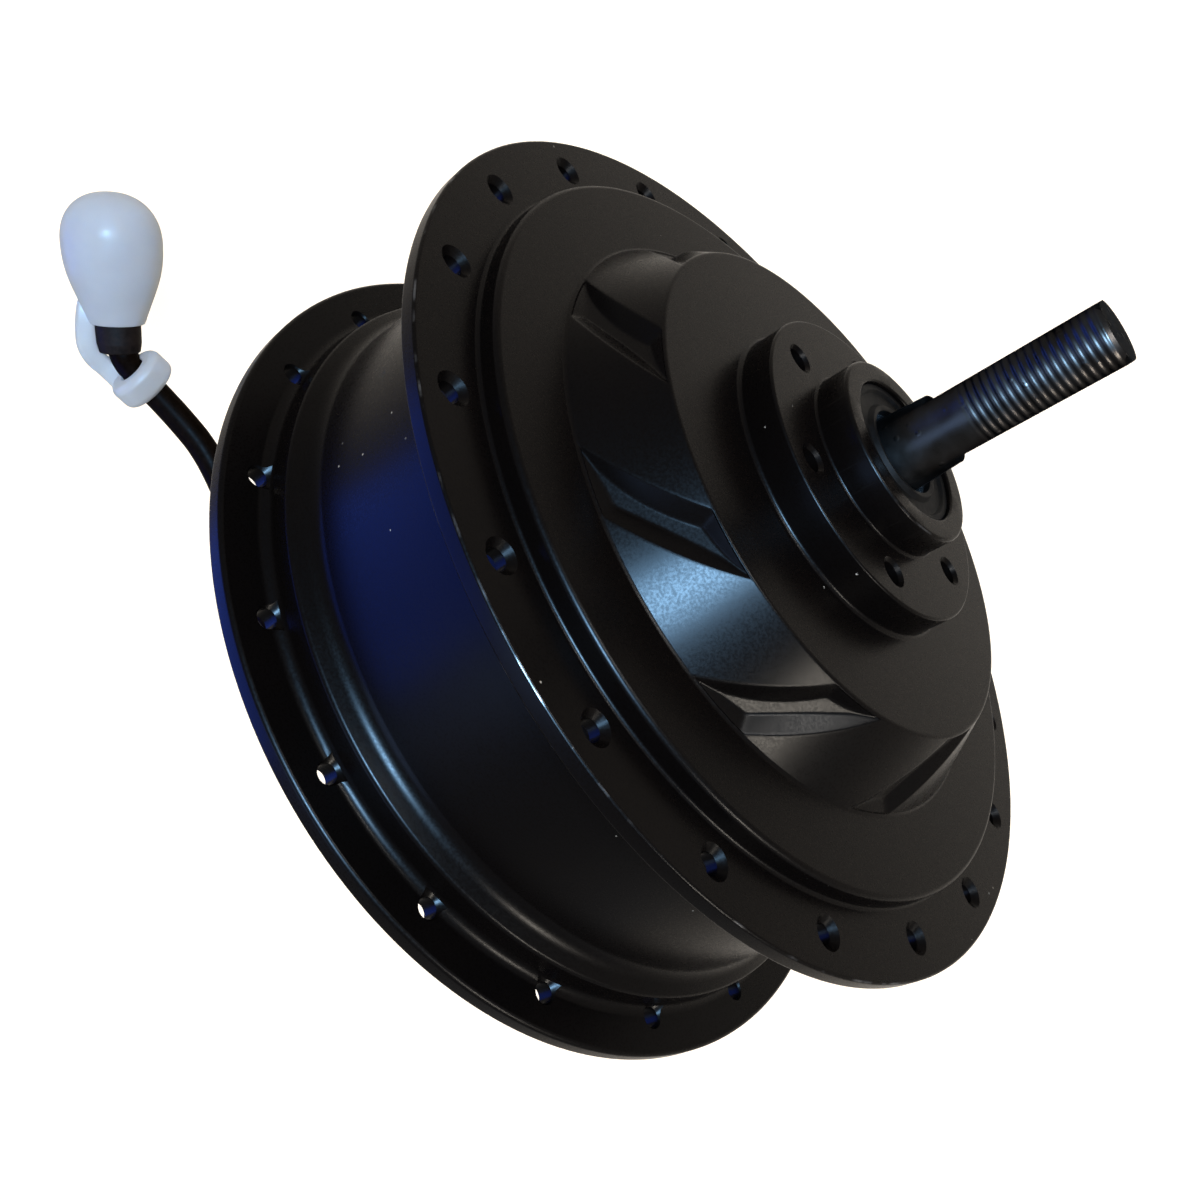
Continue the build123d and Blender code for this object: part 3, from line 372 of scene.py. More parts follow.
# Name, slot, dark and light tone, grain in mm, metallic, roughness from and to, relief in mm, and the
# stretch and gloss where they aren't the usual ones
WORKED_SURFACES = [
    # Ground bearing steel: bright, with a hair-fine grain
    ("ground_bearing_steel", "bearing_steel", "#8D8F92", "#B9BABC", 0.4, 1.0, 0.18, 0.30, 0.004),
    # Hobbed and case-hardened gear steel: grey, with cutter marks along the teeth and oil
    ("hobbed_oiled_gear_steel", "gear_steel", "#5E6064", "#8A8B8E", 0.5, 1.0, 0.28, 0.45, 0.008, MARKS),
    # Rolled electrical steel: dull blue-grey, with thin layers
    ("rolled_lamination_steel", "rotor_steel", "#565A61", "#7C8087", 0.5, 1.0, 0.35, 0.5, 0.01, LAYERS),
    # Nickel-plated magnets: bright and slightly warm
    ("nickel_plated_magnet", "magnet_nickel", "#A6A39B", "#C8C5BC", 2.0, 1.0, 0.15, 0.28, 0.004),
    # Enamelled winding wire: amber copper in close turns
    ("enamelled_copper_wire", "copper_wire", "#6E2B10", "#B5602B", 0.8, 0.9, 0.22, 0.38, 0.08, TURNS),
    # Machined aluminium: pale, with fine lines along the axle
    ("machined_aluminium", "bare_aluminium", "#A8AAAC", "#C9CBCD", 0.6, 1.0, 0.25, 0.4, 0.006, MARKS),
    # Moulded nylon gear: off-white, waxy
    ("moulded_nylon", "gear_nylon", "#CFC9B4", "#E2DDCB", 3.0, 0.0, 0.38, 0.5, 0.01),
    # Sintered bronze bush: brown-gold and finely porous
    ("sintered_bronze", "bush_bronze", "#7A5A2C", "#A67F45", 0.5, 1.0, 0.35, 0.55, 0.01),
    # Lacquered circuit board: deep green gloss
    ("lacquered_circuit_board", "circuit_board", "#0A3F1C", "#15602F", 1.5, 0.0, 0.2, 0.35, 0.01),
    # Pressed fibre gasket: dry brown card
    ("pressed_fibre", "gasket_fibre", "#4A3A28", "#6B573E", 0.8, 0.0, 0.8, 0.92, 0.03),
    # Blackened socket screws: dark, slightly oily steel
    ("blackened_screw_steel", "screw_steel", "#1C1D20", "#34363A", 0.6, 1.0, 0.3, 0.45, 0.006),
    # Moulded nitrile seals: soft dark grey-black, with a faint oily shine
    ("moulded_nitrile_rubber", "seal_rubber", "#060606", "#0D0C0C", 1.2, 0.0, 0.4, 0.55, 0.015, EVEN, 0.02),
    # Moulded rubber boot and grommet: matt warm black
    ("moulded_black_rubber", "black_rubber", "#130E0B", "#201814", 1.2, 0.0, 0.5, 0.65, 0.02, EVEN, 0.02),
    # Extruded cable jacket: matt brown-black
    ("extruded_cable_jacket", "cable_jacket", "#080503", "#110B07", 1.0, 0.0, 0.34, 0.48, 0.02, EVEN, 0.004),
    # Moulded connector body: hard black plastic
    ("moulded_connector_plastic", "connector_plastic", "#1E1612", "#2C211B",
     0.9, 0.0, 0.4, 0.55, 0.01, EVEN, 0.02),
    # Plated brass contacts: bright yellow metal
    ("plated_brass", "contact_brass", "#B08A45", "#D3B06A", 0.8, 1.0, 0.2, 0.32, 0.004),
]


def worked_surface(name, slot, dark, light, grain_mm, metallic, smooth, dull, relief_mm,
                   stretch=EVEN, gloss=0.5):
    """A worked surface: two tones and two roughnesses blended by a grain of a real size, with its relief."""
    tree, place = new_finish(name, slot)
    lay = add_node(tree, "ShaderNodeMapping", {"Vector": place, "Scale": stretch})
    grain = add_node(tree, "ShaderNodeTexNoise", {"Vector": lay, "Scale": per_metre(grain_mm), "Detail": 3.0})
    share = add_node(tree, "ShaderNodeMapRange", {"Value": grain, "From Min": 0.3, "From Max": 0.7})
    colour = add_node(tree, "ShaderNodeMix", {0: share, 6: linear(dark), 7: linear(light)}, data_type="RGBA")
    shine = add_node(tree, "ShaderNodeMapRange", {"Value": share, "To Min": smooth, "To Max": dull})
    bump = add_node(tree, "ShaderNodeBump", {"Height": grain, "Distance": relief_mm * MM})
    shader = add_node(tree, "ShaderNodeBsdfPrincipled", {
        "Base Color": colour.outputs[2], "Metallic": metallic, "Roughness": shine,
        "Specular IOR Level": gloss, "Normal": bump})
    add_node(tree, "ShaderNodeOutputMaterial", {"Surface": shader})


def make_finishes(scene):
    """Every finish of the motor, by the record's slot name."""
    satin_black_paint(scene.hub_motor_shell)
    blackened_steel(scene.hub_motor_axle)
    translucent_silicone(scene.hub_motor_lead)
    for row in WORKED_SURFACES:
        worked_surface(*row)


def ring_at(radius, height, angles):
    """One ring of points about the Y axis, with one radius or a radius for each angle."""
    return np.stack([-radius * np.cos(angles), np.full(len(angles), height), radius * np.sin(angles)], 1)


def spun(outline, columns, turn_at=None, push=None):
    """Points of an outline of (radius, height) in millimetres turned about the Y axis, in metres.

    turn_at gives the angles of one ring of the outline, and push a shift of its points."""
    even = np.arange(columns) * 2 * pi / columns
    rings = []
    for index, (radius, height) in enumerate(outline):
        angles = even if turn_at is None else turn_at(index)
        ring = ring_at(radius, height, angles)
        rings.append(ring if push is None else ring + push(index, angles))
    return np.concatenate(rings) * MM


def ring_faces(rings, columns, closed):
    """Quads between neighbouring rings, and from the last back to the first where closed."""
    faces = []
    for ring in range(rings if closed else rings - 1):
        here, there = ring * columns, (ring + 1) % rings * columns
        for column in range(columns):
            after = (column + 1) % columns
            faces.append((here + column, here + after, there + after, there + column))
    return faces


def mesh_piece(name, points, faces):
    """A clean closed mesh object from points and faces, with its normals facing outwards."""
    mesh = bpy.data.meshes.new(name)
    mesh.from_pydata([tuple(p) for p in points], [], faces)
    form = bmesh.new()
    form.from_mesh(mesh)
    bmesh.ops.remove_doubles(form, verts=form.verts, dist=1e-7)
    bmesh.ops.dissolve_degenerate(form, edges=form.edges, dist=1e-7)
    bmesh.ops.recalc_face_normals(form, faces=form.faces)
    form.to_mesh(mesh)
    form.free()
    return in_scene(name, mesh)


def spun_piece(name, outline, columns=96):
    """A closed outline of (radius, height) turned about the Y axis."""
    return mesh_piece(name, spun(outline, columns), ring_faces(len(outline), columns, True))


def rounded(corners, finest=3):
    """Closed outline whose corners (radius, height, fillet) become arcs, and (radius, height) stay sharp."""
    outline = []
    for index, (x, y, *arc) in enumerate(corners):
        here = Vector((x, y))
        before = Vector(corners[index - 1][:2]) - here
        after = Vector(corners[(index + 1) % len(corners)][:2]) - here
        if not arc:
            outline.append((x, y))
            continue
        half = before.angle(after) / 2
        reach = min(arc[0] / np.tan(half), before.length * 0.48, after.length * 0.48)
        fillet = reach * np.tan(half)
        first, last = here + before.normalized() * reach, here + after.normalized() * reach
        steps = finest + int(fillet * 1.2)
        centre = here + (before.normalized() + after.normalized()).normalized() * (fillet / sin(half))
        for step in range(steps + 1):
            arm = (first - centre).lerp(last - centre, step / steps).normalized() * fillet
            outline.append(tuple(centre + arm))
    return outline


def as_mesh(piece):
    """Replace a piece's mesh by its evaluated one, and drop its modifiers."""
    bpy.context.view_layer.update()
    result = bpy.data.meshes.new_from_object(piece.evaluated_get(bpy.context.evaluated_depsgraph_get()))
    piece.modifiers.clear()
    piece.data = result


def cut(piece, cutter, operation="DIFFERENCE"):
    """Cut a piece with a closed cutter, or join them, and delete the cutter."""
    step = piece.modifiers.new("cut", "BOOLEAN")
    step.operation, step.solver, step.object = operation, "MANIFOLD", cutter
    as_mesh(piece)
    bpy.data.objects.remove(cutter)


def smoothed(piece, angle=32):
    """Smooth shading with crisp edges, weighted so that flat faces stay flat."""
    piece.data.shade_smooth()
    piece.data.set_sharp_from_angle(angle=radians(angle))
    weighted = piece.modifiers.new("flat_faces", "WEIGHTED_NORMAL")
    weighted.keep_sharp = True
    return piece


def finished(piece, slot, body, *nodes):
    """Give a piece its finish, the body that it rides on and the solids that it stands for."""
    piece.data.materials.clear()
    piece.data.materials.append(made[slot])
    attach(piece, body)
    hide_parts(*nodes)
    return piece


def ring_tree(name, drills):
    """Geometry Nodes that repeat a tool round a circle about the Y axis, and keep it or drill with it."""
    tree = bpy.data.node_groups.new(name, "GeometryNodeTree")
    face = tree.interface
    face.new_socket("Geometry", in_out="INPUT", socket_type="NodeSocketGeometry")
    for label, kind, default in (
            ("Tool", "NodeSocketObject", None), ("Count", "NodeSocketInt", 6),
            ("Circle Radius", "NodeSocketFloat", 0.02), ("Start Angle", "NodeSocketFloat", 0.0),
            ("Height", "NodeSocketFloat", 0.0), ("Finish", "NodeSocketMaterial", None)):
        socket = face.new_socket(label, in_out="INPUT", socket_type=kind)
        if default is not None:
            socket.default_value = default
    face.new_socket("Geometry", in_out="OUTPUT", socket_type="NodeSocketGeometry")
    given = add_node(tree, "NodeGroupInput")
    circle = add_node(tree, "GeometryNodeMeshCircle", {
        "Vertices": given.outputs["Count"], "Radius": given.outputs["Circle Radius"]})
    turn = add_node(tree, "ShaderNodeCombineXYZ", {"X": pi / 2, "Y": given.outputs["Start Angle"]})
    lift = add_node(tree, "ShaderNodeCombineXYZ", {"Y": given.outputs["Height"]})
    placed = add_node(tree, "GeometryNodeTransform", {
        "Geometry": circle, "Translation": lift, "Rotation": turn})
    tool = add_node(tree, "GeometryNodeObjectInfo", {"Object": given.outputs["Tool"]})
    copies = add_node(tree, "GeometryNodeInstanceOnPoints", {
        "Points": placed, "Instance": tool.outputs["Geometry"]})
    solid = add_node(tree, "GeometryNodeRealizeInstances", {"Geometry": copies})
    if drills:
        holes = add_node(tree, "GeometryNodeMeshBoolean", {
            "Mesh 1": given.outputs["Geometry"], "Mesh 2": solid}, operation="DIFFERENCE", solver="MANIFOLD")
        solid = add_node(tree, "GeometryNodeRealizeInstances", {"Geometry": holes})
    coated = add_node(tree, "GeometryNodeSetMaterial", {
        "Geometry": solid, "Material": given.outputs["Finish"]})
    add_node(tree, "NodeGroupOutput", {"Geometry": coated})
    return tree


def run_ring(piece, tree, tool, count, circle_mm, start_degrees, height_mm, slot):
    """Run a ring tree on a piece, with its inputs set by socket identifier, and keep the result."""
    step = piece.modifiers.new(tree.name, "NODES")
    step.node_group = tree
    values = {"Tool": tool, "Count": count, "Circle Radius": circle_mm * MM,
              "Start Angle": radians(180 + start_degrees), "Height": height_mm * MM, "Finish": made[slot]}
    for socket in tree.interface.items_tree:
        if socket.in_out == "INPUT" and socket.name in values:
            step[socket.identifier] = values[socket.name]
    as_mesh(piece)
    bpy.data.objects.remove(tool)


def drill(radius, depth_above, depth_below, sink_above=0.0, sink_below=0.0, flare=1.0):
    """Closed drill along Y, about its own origin, widened to a countersink at either end."""
    def half(way, depth, sink):
        """Outline of one end, from its tip to the drill's side."""
        tip = way * (depth + flare)
        if sink <= radius:
            return [(0.0, tip), (radius, tip)]
        return [(0.0, tip), (sink + flare, tip), (radius, way * (depth - (sink - radius)))]

    outline = half(1, depth_above, sink_above) + half(-1, depth_below, sink_below)[::-1]
    return spun_piece("drill", outline, columns=28)


def soft_least(first, second, blend=0.12):
    """The smaller of two depths, with the crease between them rounded over a small blend."""
    share = np.clip(0.5 + 0.5 * (second - first) / blend, 0.0, 1.0)
    return second + (first - second) * share - blend * share * (1 - share)


def pocket_sink(up_mm, length, across_mm, width_mm, lean, turn_off, depth):
    """How far the cone sinks at a point of a pocket: four sloped walls down to a flat floor."""
    rise = depth / POCKET_WALL_RUN
    sides = soft_least(across_mm * lean, (width_mm - across_mm) * lean)
    ends = np.full_like(sides, min(up_mm, length - up_mm))
    radius = CONE_FOOT_R + (CONE_TOP_R - CONE_FOOT_R) * up_mm / length
    floor = depth - radius * (1 - np.cos(turn_off)) * (CONE_TOP - STEP_TOP) / length
    return -soft_least(-soft_least(soft_least(sides * rise, ends * rise), floor), 0.0)


def shell_casting(settings):
    """The one-piece casting: flanges, drum, step, pocketed cone, disc boss and pilot."""
    edge = settings.edge_radius / MM
    outside = rounded([
        (COVER_R, FAR_FACE, 0.2),
        (FAR_RIM_R, FAR_FACE, edge),
        (FAR_RIM_R, FAR_BACK, edge * 1.6),
        (SHOULDER_R, FAR_BACK, 2.0),
        (SHOULDER_R, FAR_BACK + SHOULDER_W + SHOULDER_SLOPE[0], 1.0),
        (DRUM_R, FAR_BACK + SHOULDER_W + SHOULDER_SLOPE[1], 4.5),
        (DRUM_R, NEAR_BACK, 2.2),
        (NEAR_RIM_R, NEAR_BACK, edge),
        (NEAR_RIM_R, NEAR_FACE, edge),
        (STEP_R, NEAR_FACE, 0.7),
        (STEP_R, STEP_TOP, 1.0),
        (CONE_FOOT_R, STEP_TOP),
        (CONE_TOP_R, CONE_TOP),
        (BOSS_R, CONE_TOP, 0.8),
        (BOSS_R, DISC_SEAT, 0.45),
        (PILOT_R, DISC_SEAT, 0.5),
        (PILOT_R, PILOT_END, 0.6),
        (MOUTH_R, PILOT_END, 0.4),
        (MOUTH_R, MOUTH_FLOOR),
        (BEARING_R, MOUTH_FLOOR),
        (BEARING_R, INNER_TOP),
        (INNER_TOP_R, INNER_TOP),
        (INNER_FOOT_R, INNER_WALL),
        (DRUM_INNER_R, INNER_WALL),
        (DRUM_INNER_R, LEDGE_TOP),
        (LEDGE_R, LEDGE_TOP),
        (LEDGE_R, COVER_SEAT),
        (COVER_R, COVER_SEAT),
    ])
    foot = outside.index((CONE_FOOT_R, STEP_TOP))
    slope = Vector((CONE_TOP_R - CONE_FOOT_R, CONE_TOP - STEP_TOP))
    length = slope.length
    edge_rows = CONE_BREAK + np.array([0.0, 0.12, 0.3])
    rows = np.concatenate([edge_rows, np.linspace(edge_rows[-1], length - edge_rows[-1], 40)[1:-1],
                           length - edge_rows[::-1]])
    cone = [(CONE_FOOT_R + slope.x * s / length, STEP_TOP + slope.y * s / length) for s in rows]

    # The breaks at the cone's foot and top, in shares of CONE_BREAK
    foot_break = [(CONE_FOOT_R + CONE_BREAK * x, STEP_TOP + CONE_BREAK * y)
                  for x, y in ((1.0, 0.0), (0.32, 0.1))]
    top_break = [(CONE_TOP_R + CONE_BREAK * x, CONE_TOP - CONE_BREAK * y)
                 for x, y in ((0.18, 0.33), (-0.42, 0.06), (-1.2, 0.0))]
    outline = outside[:foot] + foot_break + cone + top_break + outside[foot + 2:]
    foot += len(foot_break)
    top = foot + len(cone) - 1
    inner_top = outline.index((INNER_TOP_R, INNER_TOP))

    # Columns follow the pockets' slanted sides: an angle at the foot and one at the top of the cone
    across = np.concatenate([[0.0, 0.012], np.linspace(0.03, 0.97, 34), [0.988, 1.0, 1.008],
                             1 + np.linspace(0.03, 0.97, 17), [1.992]])
    pitch = 360 / POCKETS

    def column_angles(edges):
        width = edges[1] - edges[0]
        in_pocket = edges[0] + width * np.minimum(across, 1.0)
        return in_pocket + (pitch - width) * np.maximum(across - 1.0, 0.0)

    turns = np.concatenate([np.full(len(across), pitch * index) for index in range(POCKETS)])
    foot_angles = radians(1) * (np.tile(column_angles(POCKET_FOOT), POCKETS) + turns)
    top_angles = radians(1) * (np.tile(column_angles(POCKET_TOP), POCKETS) + turns)
    share_across = np.tile(across, POCKETS)
    columns = len(foot_angles)

    def share_up(index):
        """How far up the cone a point of the outline is, for the columns' slant."""
        if index <= foot or index > inner_top:
            return 0.0
        if index >= top:
            return 1.0
        return rows[index - foot] / length

    def turn_at(index):
        """The columns' angles at one point of the outline."""
        return foot_angles + (top_angles - foot_angles) * share_up(index)

    def push(index, angles):
        """The shift of one ring's points into the pockets, square to the cone."""
        if index <= foot or index >= top:
            return 0.0
        share = share_up(index)
        radius = outline[index][0]
        width = radius * (radians(POCKET_FOOT[1] - POCKET_FOOT[0]) * (1 - share)
                          + radians(POCKET_TOP[1] - POCKET_TOP[0]) * share)
        lean = cos(atan2(radius * radians(POCKET_TOP[0] - POCKET_FOOT[0]), length))
        turn_off = angles - radians(1) * turns - radians(sum(POCKET_FOOT + POCKET_TOP) / 4)
        depth = pocket_sink(rows[index - foot], length, share_across * width, width, lean, turn_off,
                            settings.pocket_depth / MM)
        normal = Vector((slope.y, -slope.x)).normalized()
        return -ring_at(normal.x, normal.y, angles) * depth[:, None]

    points = spun(outline, columns, turn_at, push)
    shell = mesh_piece("shell_casting", points, ring_faces(len(outline), columns, True))
    spoke_r, sink_r = settings.spoke_hole / 2 / MM, settings.countersink / 2 / MM
    tree = ring_tree("drilled_ring", True)
    for face, back, circle, start, sink in (
            (NEAR_FACE, NEAR_BACK, NEAR_HOLES_R, NEAR_HOLES_START, sink_r),
            (FAR_BACK, FAR_FACE, FAR_HOLES_R, FAR_HOLES_START, spoke_r + FAR_SINK)):
        thick = face - back
        tool = drill(spoke_r, thick / 2, thick / 2, sink, spoke_r + BACK_SINK)
        run_ring(shell, tree, tool, SPOKE_HOLES, circle, start, (face + back) / 2, "black_casting")
    tap = drill(DISC_TAP_R, 0.0, DISC_TAP_DEPTH, DISC_TAP_R + TAP_SINK)
    run_ring(shell, tree, tap, DISC_BOLTS, DISC_BOLTS_R, DISC_BOLTS_START, DISC_SEAT, "black_casting")
    screw_hole = drill(SCREW_R, SCREW_REACH - 1.0, 0.2)
    run_ring(shell, tree, screw_hole, COVER_SCREWS, COVER_SCREWS_R, 0.0, COVER_SEAT, "black_casting")
    finished(smoothed(shell), "black_casting", "hub", "hub_shell")


def cover_casting():
    """The dished cover of the cable side, with the far bearing's mouth and its screw seats."""
    cover = spun_piece("cover_casting", rounded([
        (COVER_EDGE_R, FAR_FACE, 0.4),
        (COVER_EDGE_R, COVER_SEAT - GASKET_T),
        (COVER_FLAT_R, COVER_SEAT - GASKET_T),
        (COVER_CROWN_R, COVER_TOP + COVER_T),
        (FAR_HOUSING_R, COVER_TOP + COVER_T),
        (FAR_HOUSING_R, FAR_HOUSING_END),
        (FAR_BEARING_R, FAR_HOUSING_END),
        (FAR_BEARING_R, FAR_MOUTH_FLOOR),
        (FAR_MOUTH_R, FAR_MOUTH_FLOOR),
        (FAR_MOUTH_R, COVER_HUB_END, 0.4),
        (COVER_HUB_R, COVER_HUB_END, 0.8),
        (COVER_HUB_R, COVER_TOP, 1.6),
        (COVER_CROWN_R, COVER_TOP, 3.0),
        (COVER_FLAT_R, FAR_FACE, 3.0),
    ], finest=6), columns=192)
    hole = drill(SCREW_R, COVER_T / 2, COVER_T / 2)
    tree = ring_tree("drilled_ring", True)
    run_ring(cover, tree, hole, COVER_SCREWS, COVER_SCREWS_R, 0.0, FAR_FACE + COVER_T / 2, "black_casting")
    finished(smoothed(cover), "black_casting", "hub", "side_cover")


def cover_screws(settings):
    """Nine socket screws, one made in full and repeated round the cover."""
    head_r, foot = settings.screw_head / 2 / MM, SCREW_REACH + COVER_T - 0.4
    screw = spun_piece("one_screw", rounded([
        (0.0, -SCREW_HEAD_H),
        (head_r, -SCREW_HEAD_H, 0.35),
        (head_r, 0.0, 0.05),
        (SCREW_R, 0.0),
        (SCREW_R, foot, 0.3),
        (0.0, foot),
    ]), columns=32)
    socket = spun_piece("socket", [
        (0.0, -SCREW_HEAD_H - 0.5), (SOCKET_R, -SCREW_HEAD_H - 0.5),
        (SOCKET_R, -SCREW_HEAD_H + SOCKET_DEPTH), (0.0, -SCREW_HEAD_H + SOCKET_DEPTH + 0.2)], columns=6)
    cut(screw, socket)
    bpy.context.scene.collection.objects.unlink(screw)
    screws = mesh_piece("cover_screw_set", [], [])
    tree = ring_tree("repeated_ring", False)
    run_ring(screws, tree, screw, COVER_SCREWS, COVER_SCREWS_R, 0.0, FAR_FACE, "screw_steel")
    finished(smoothed(screws), "screw_steel", "hub", "cover_screws")


def lip_seal(name, node, outer_r, shaft_r, low, high, way):
    """A shaft seal: flat rim, a band sunk (way 1) or raised (way -1), and a lip that closes on the shaft."""
    seal = spun_piece(name, rounded([
        (shaft_r + LIP_PLAY, low),
        (outer_r - 0.02, low),
        (outer_r - 0.02, high, 0.2),
        (outer_r - 1.1, high, 0.2),
        (outer_r - 1.5, high - 0.55 * way, 0.15),
        (shaft_r + 1.5, high - 0.55 * way, 0.2),
        (shaft_r + 0.9, high + 0.25 * way, 0.25),
        (shaft_r + LIP_PLAY, high + 0.1 * way, 0.1),
    ]))
    finished(smoothed(seal), "seal_rubber", "hub", node)


def threaded_end(way, pitch, depth):
    """Rings of one threaded end, from its shoulder to its tip: height, groove depth and chamfer."""
    start, step = SHOULDER_Y + THREAD_RUNOUT, pitch / 8
    heights = np.concatenate([[SHOULDER_Y, start], np.arange(start + step, TIP_Y, step), [TIP_Y]])
    rings = []
    for height in heights:
        fade = np.clip((height - SHOULDER_Y - THREAD_RUNOUT) / pitch, 0, 1)
        rings.append((way * height, fade * depth, max(0.0, TIP_CHAMFER - (TIP_Y - height))))
    return rings


def axle_bar(settings):
    """The axle: turned journals, a cut thread on each end, two flats and the cable's bore."""
    columns = 96
    angles = np.arange(columns) * 2 * pi / columns
    pitch, depth = settings.thread_pitch / MM, settings.thread_depth / MM
    rings = []

    def plain(outline):
        rings.extend(ring_at(radius, height, angles) for radius, height in outline)

    def threaded(end):
        for height, cut_depth, chamfer in end:
            groove = 0.5 - 0.5 * np.cos(2 * pi * height / pitch - angles)
            radius = np.minimum(THREAD_R - cut_depth * groove, THREAD_R - chamfer)
            rings.append(ring_at(radius, height, angles))

    plain([(CABLE_BORE_R, BORE_END), (CABLE_BORE_R, -TIP_Y)])
    threaded(reversed(threaded_end(-1, pitch, depth)))
    plain(rounded([
        (FAR_JOURNAL_R, -SHOULDER_Y, 0.4), (FAR_JOURNAL_R, SEAT_START), (SEAT_R, SEAT_START, 0.3),
        (SEAT_R, SEAT_END, 0.3), (NEAR_JOURNAL_R, SEAT_END), (NEAR_JOURNAL_R, SHOULDER_Y, 0.5)]))
    threaded(threaded_end(1, pitch, depth))
    plain([(0.0, TIP_Y), (0.0, BORE_END)])
    axle = mesh_piece("axle_bar", np.concatenate(rings) * MM, ring_faces(len(rings), columns, True))
    for side in (1, -1):
        for way in (1, -1):
            middle = Vector((side * (FLAT_HALF + FLAT_CUTTER.x / 2),
                             way * (SHOULDER_Y + FLAT_CUTTER.y / 2), 0))
            block = bpy.data.meshes.new("flat")
            form = bmesh.new()
            bmesh.ops.create_cube(form, size=1.0, matrix=Matrix.LocRotScale(
                middle * MM, None, FLAT_CUTTER * MM))
            form.to_mesh(block)
            form.free()
            cut(axle, in_scene("flat", block))
    finished(smoothed(axle, angle=40), "axle_steel", "root", "axle")


def piece_along(name, origin, way, outline, columns=64):
    """A closed outline of (radius, distance) turned about the line from an origin along a way."""
    turn = Vector((0, 1, 0)).rotation_difference(way).to_matrix()
    turned = np.array([tuple(turn @ Vector(point)) for point in spun(outline, columns)])
    return mesh_piece(name, turned + np.array(origin), ring_faces(len(outline), columns, True))


def cable_and_grommet():
    """The free cable on one smooth curve, and the grommet that seals it into the axle."""
    line = bpy.data.curves.new("motor_lead", "CURVE")
    line.dimensions = "3D"
    spline = line.splines.new("NURBS")
    spline.points.add(len(CABLE_ROUTE) - 1)
    for point, place in zip(spline.points, CABLE_ROUTE):
        point.co = (*place, 1.0)
    spline.order_u = 3
    spline.use_endpoint_u = True
    spline.resolution_u = 12
    line.bevel_depth = CABLE_D / 2
    line.bevel_resolution = 8
    line.use_fill_caps = True
    lead = finished(in_scene("motor_lead", line), "cable_jacket", "root", "motor_cable")
    exit_y = CABLE_ROUTE[0][1] / MM
    grommet = spun_piece("lead_grommet", rounded([
        (0.0, -TIP_Y + GROMMET_DEPTH),
        (CABLE_BORE_R - GROMMET_PLAY, -TIP_Y + GROMMET_DEPTH, 0.3),
        (CABLE_BORE_R - GROMMET_PLAY, -TIP_Y),
        (GROMMET_HEAD_R, -TIP_Y - 0.02, 0.4),
        (GROMMET_END_R, exit_y, 0.6),
        (0.0, exit_y),
    ]))
    finished(smoothed(grommet), "black_rubber", "root", "cable_grommet")
    return lead, grommet


def plug_line():
    """The cable's end and the way that the plug points from it."""
    end, before = Vector(CABLE_ROUTE[-1]), Vector(CABLE_ROUTE[-2])
    return end, (end - before).normalized()


def connector():
    """Rubber boot and plug body at the cable's end."""
    end, way = plug_line()
    boot = piece_along("lead_boot", end, way, rounded([
        (0.0, BOOT_START), (PLUG_R - 0.5, BOOT_START, 0.5), (PLUG_R - 0.1, BOOT_START + 2.4, 0.4),
        (PLUG_R, BOOT_END - 1.2, 0.2), (PLUG_R, BOOT_END), (0.0, BOOT_END)]))
    finished(smoothed(boot), "black_rubber", "root", "connector_boot")
    waist_r, mouth_r, floor = PLUG_R - 0.35, PLUG_R - 1.5, PLUG_END - 7.0
    plug = piece_along("plug_body", end, way, rounded([
        (0.0, BOOT_END), (PLUG_R, BOOT_END, 0.2), (PLUG_R, BOOT_END + 1.4, 0.1),
        (waist_r, BOOT_END + 1.7, 0.1), (waist_r, BOOT_END + 2.6, 0.1), (PLUG_R, BOOT_END + 2.9, 0.1),
        (PLUG_R, PLUG_END, 0.4), (mouth_r, PLUG_END, 0.3), (mouth_r, floor), (0.0, floor)]))
    finished(smoothed(plug), "connector_plastic", "root", "connector_plug")
    return boot, plug


def cap_outline(wall):
    """Half outline of the cap from lip to crown, drawn in from its skin by a wall that thins to its lip."""
    outline = [(PLUG_R + CAP_PLAY if wall else PLUG_R + CAP_LIP, CAP_START)]
    for height, radius in CAP_BODY:
        outline.append((max(radius - wall, PLUG_R + CAP_PLAY), height))
    waist, waist_r = CAP_BODY[-1]
    steps = 16
    for step in range(1, steps + 1):
        turn = pi / 2 * step / steps
        crown_r = (waist_r - wall) * abs(cos(turn)) ** (2 / CAP_BLUNT)
        outline.append((crown_r, waist + (CAP_END - wall - waist) * sin(turn) ** (2 / CAP_BLUNT)))
    return outline


def strap_path():
    """Smooth points through the strap's route, in metres."""
    knots = [Vector(point) * MM for point in STRAP_ROUTE]
    ends = [knots[0] * 2 - knots[1]] + knots + [knots[-1] * 2 - knots[-2]]
    path = []
    for index in range(1, len(ends) - 2):
        p0, p1, p2, p3 = ends[index - 1:index + 3]
        for step in range(STRAP_STEPS):
            t = step / STRAP_STEPS
            path.append(0.5 * ((2 * p1) + (p2 - p0) * t + (2 * p0 - 5 * p1 + 4 * p2 - p3) * t ** 2
                               + (3 * p1 - p0 - 3 * p2 + p3) * t ** 3))
    return path + [knots[-1]]


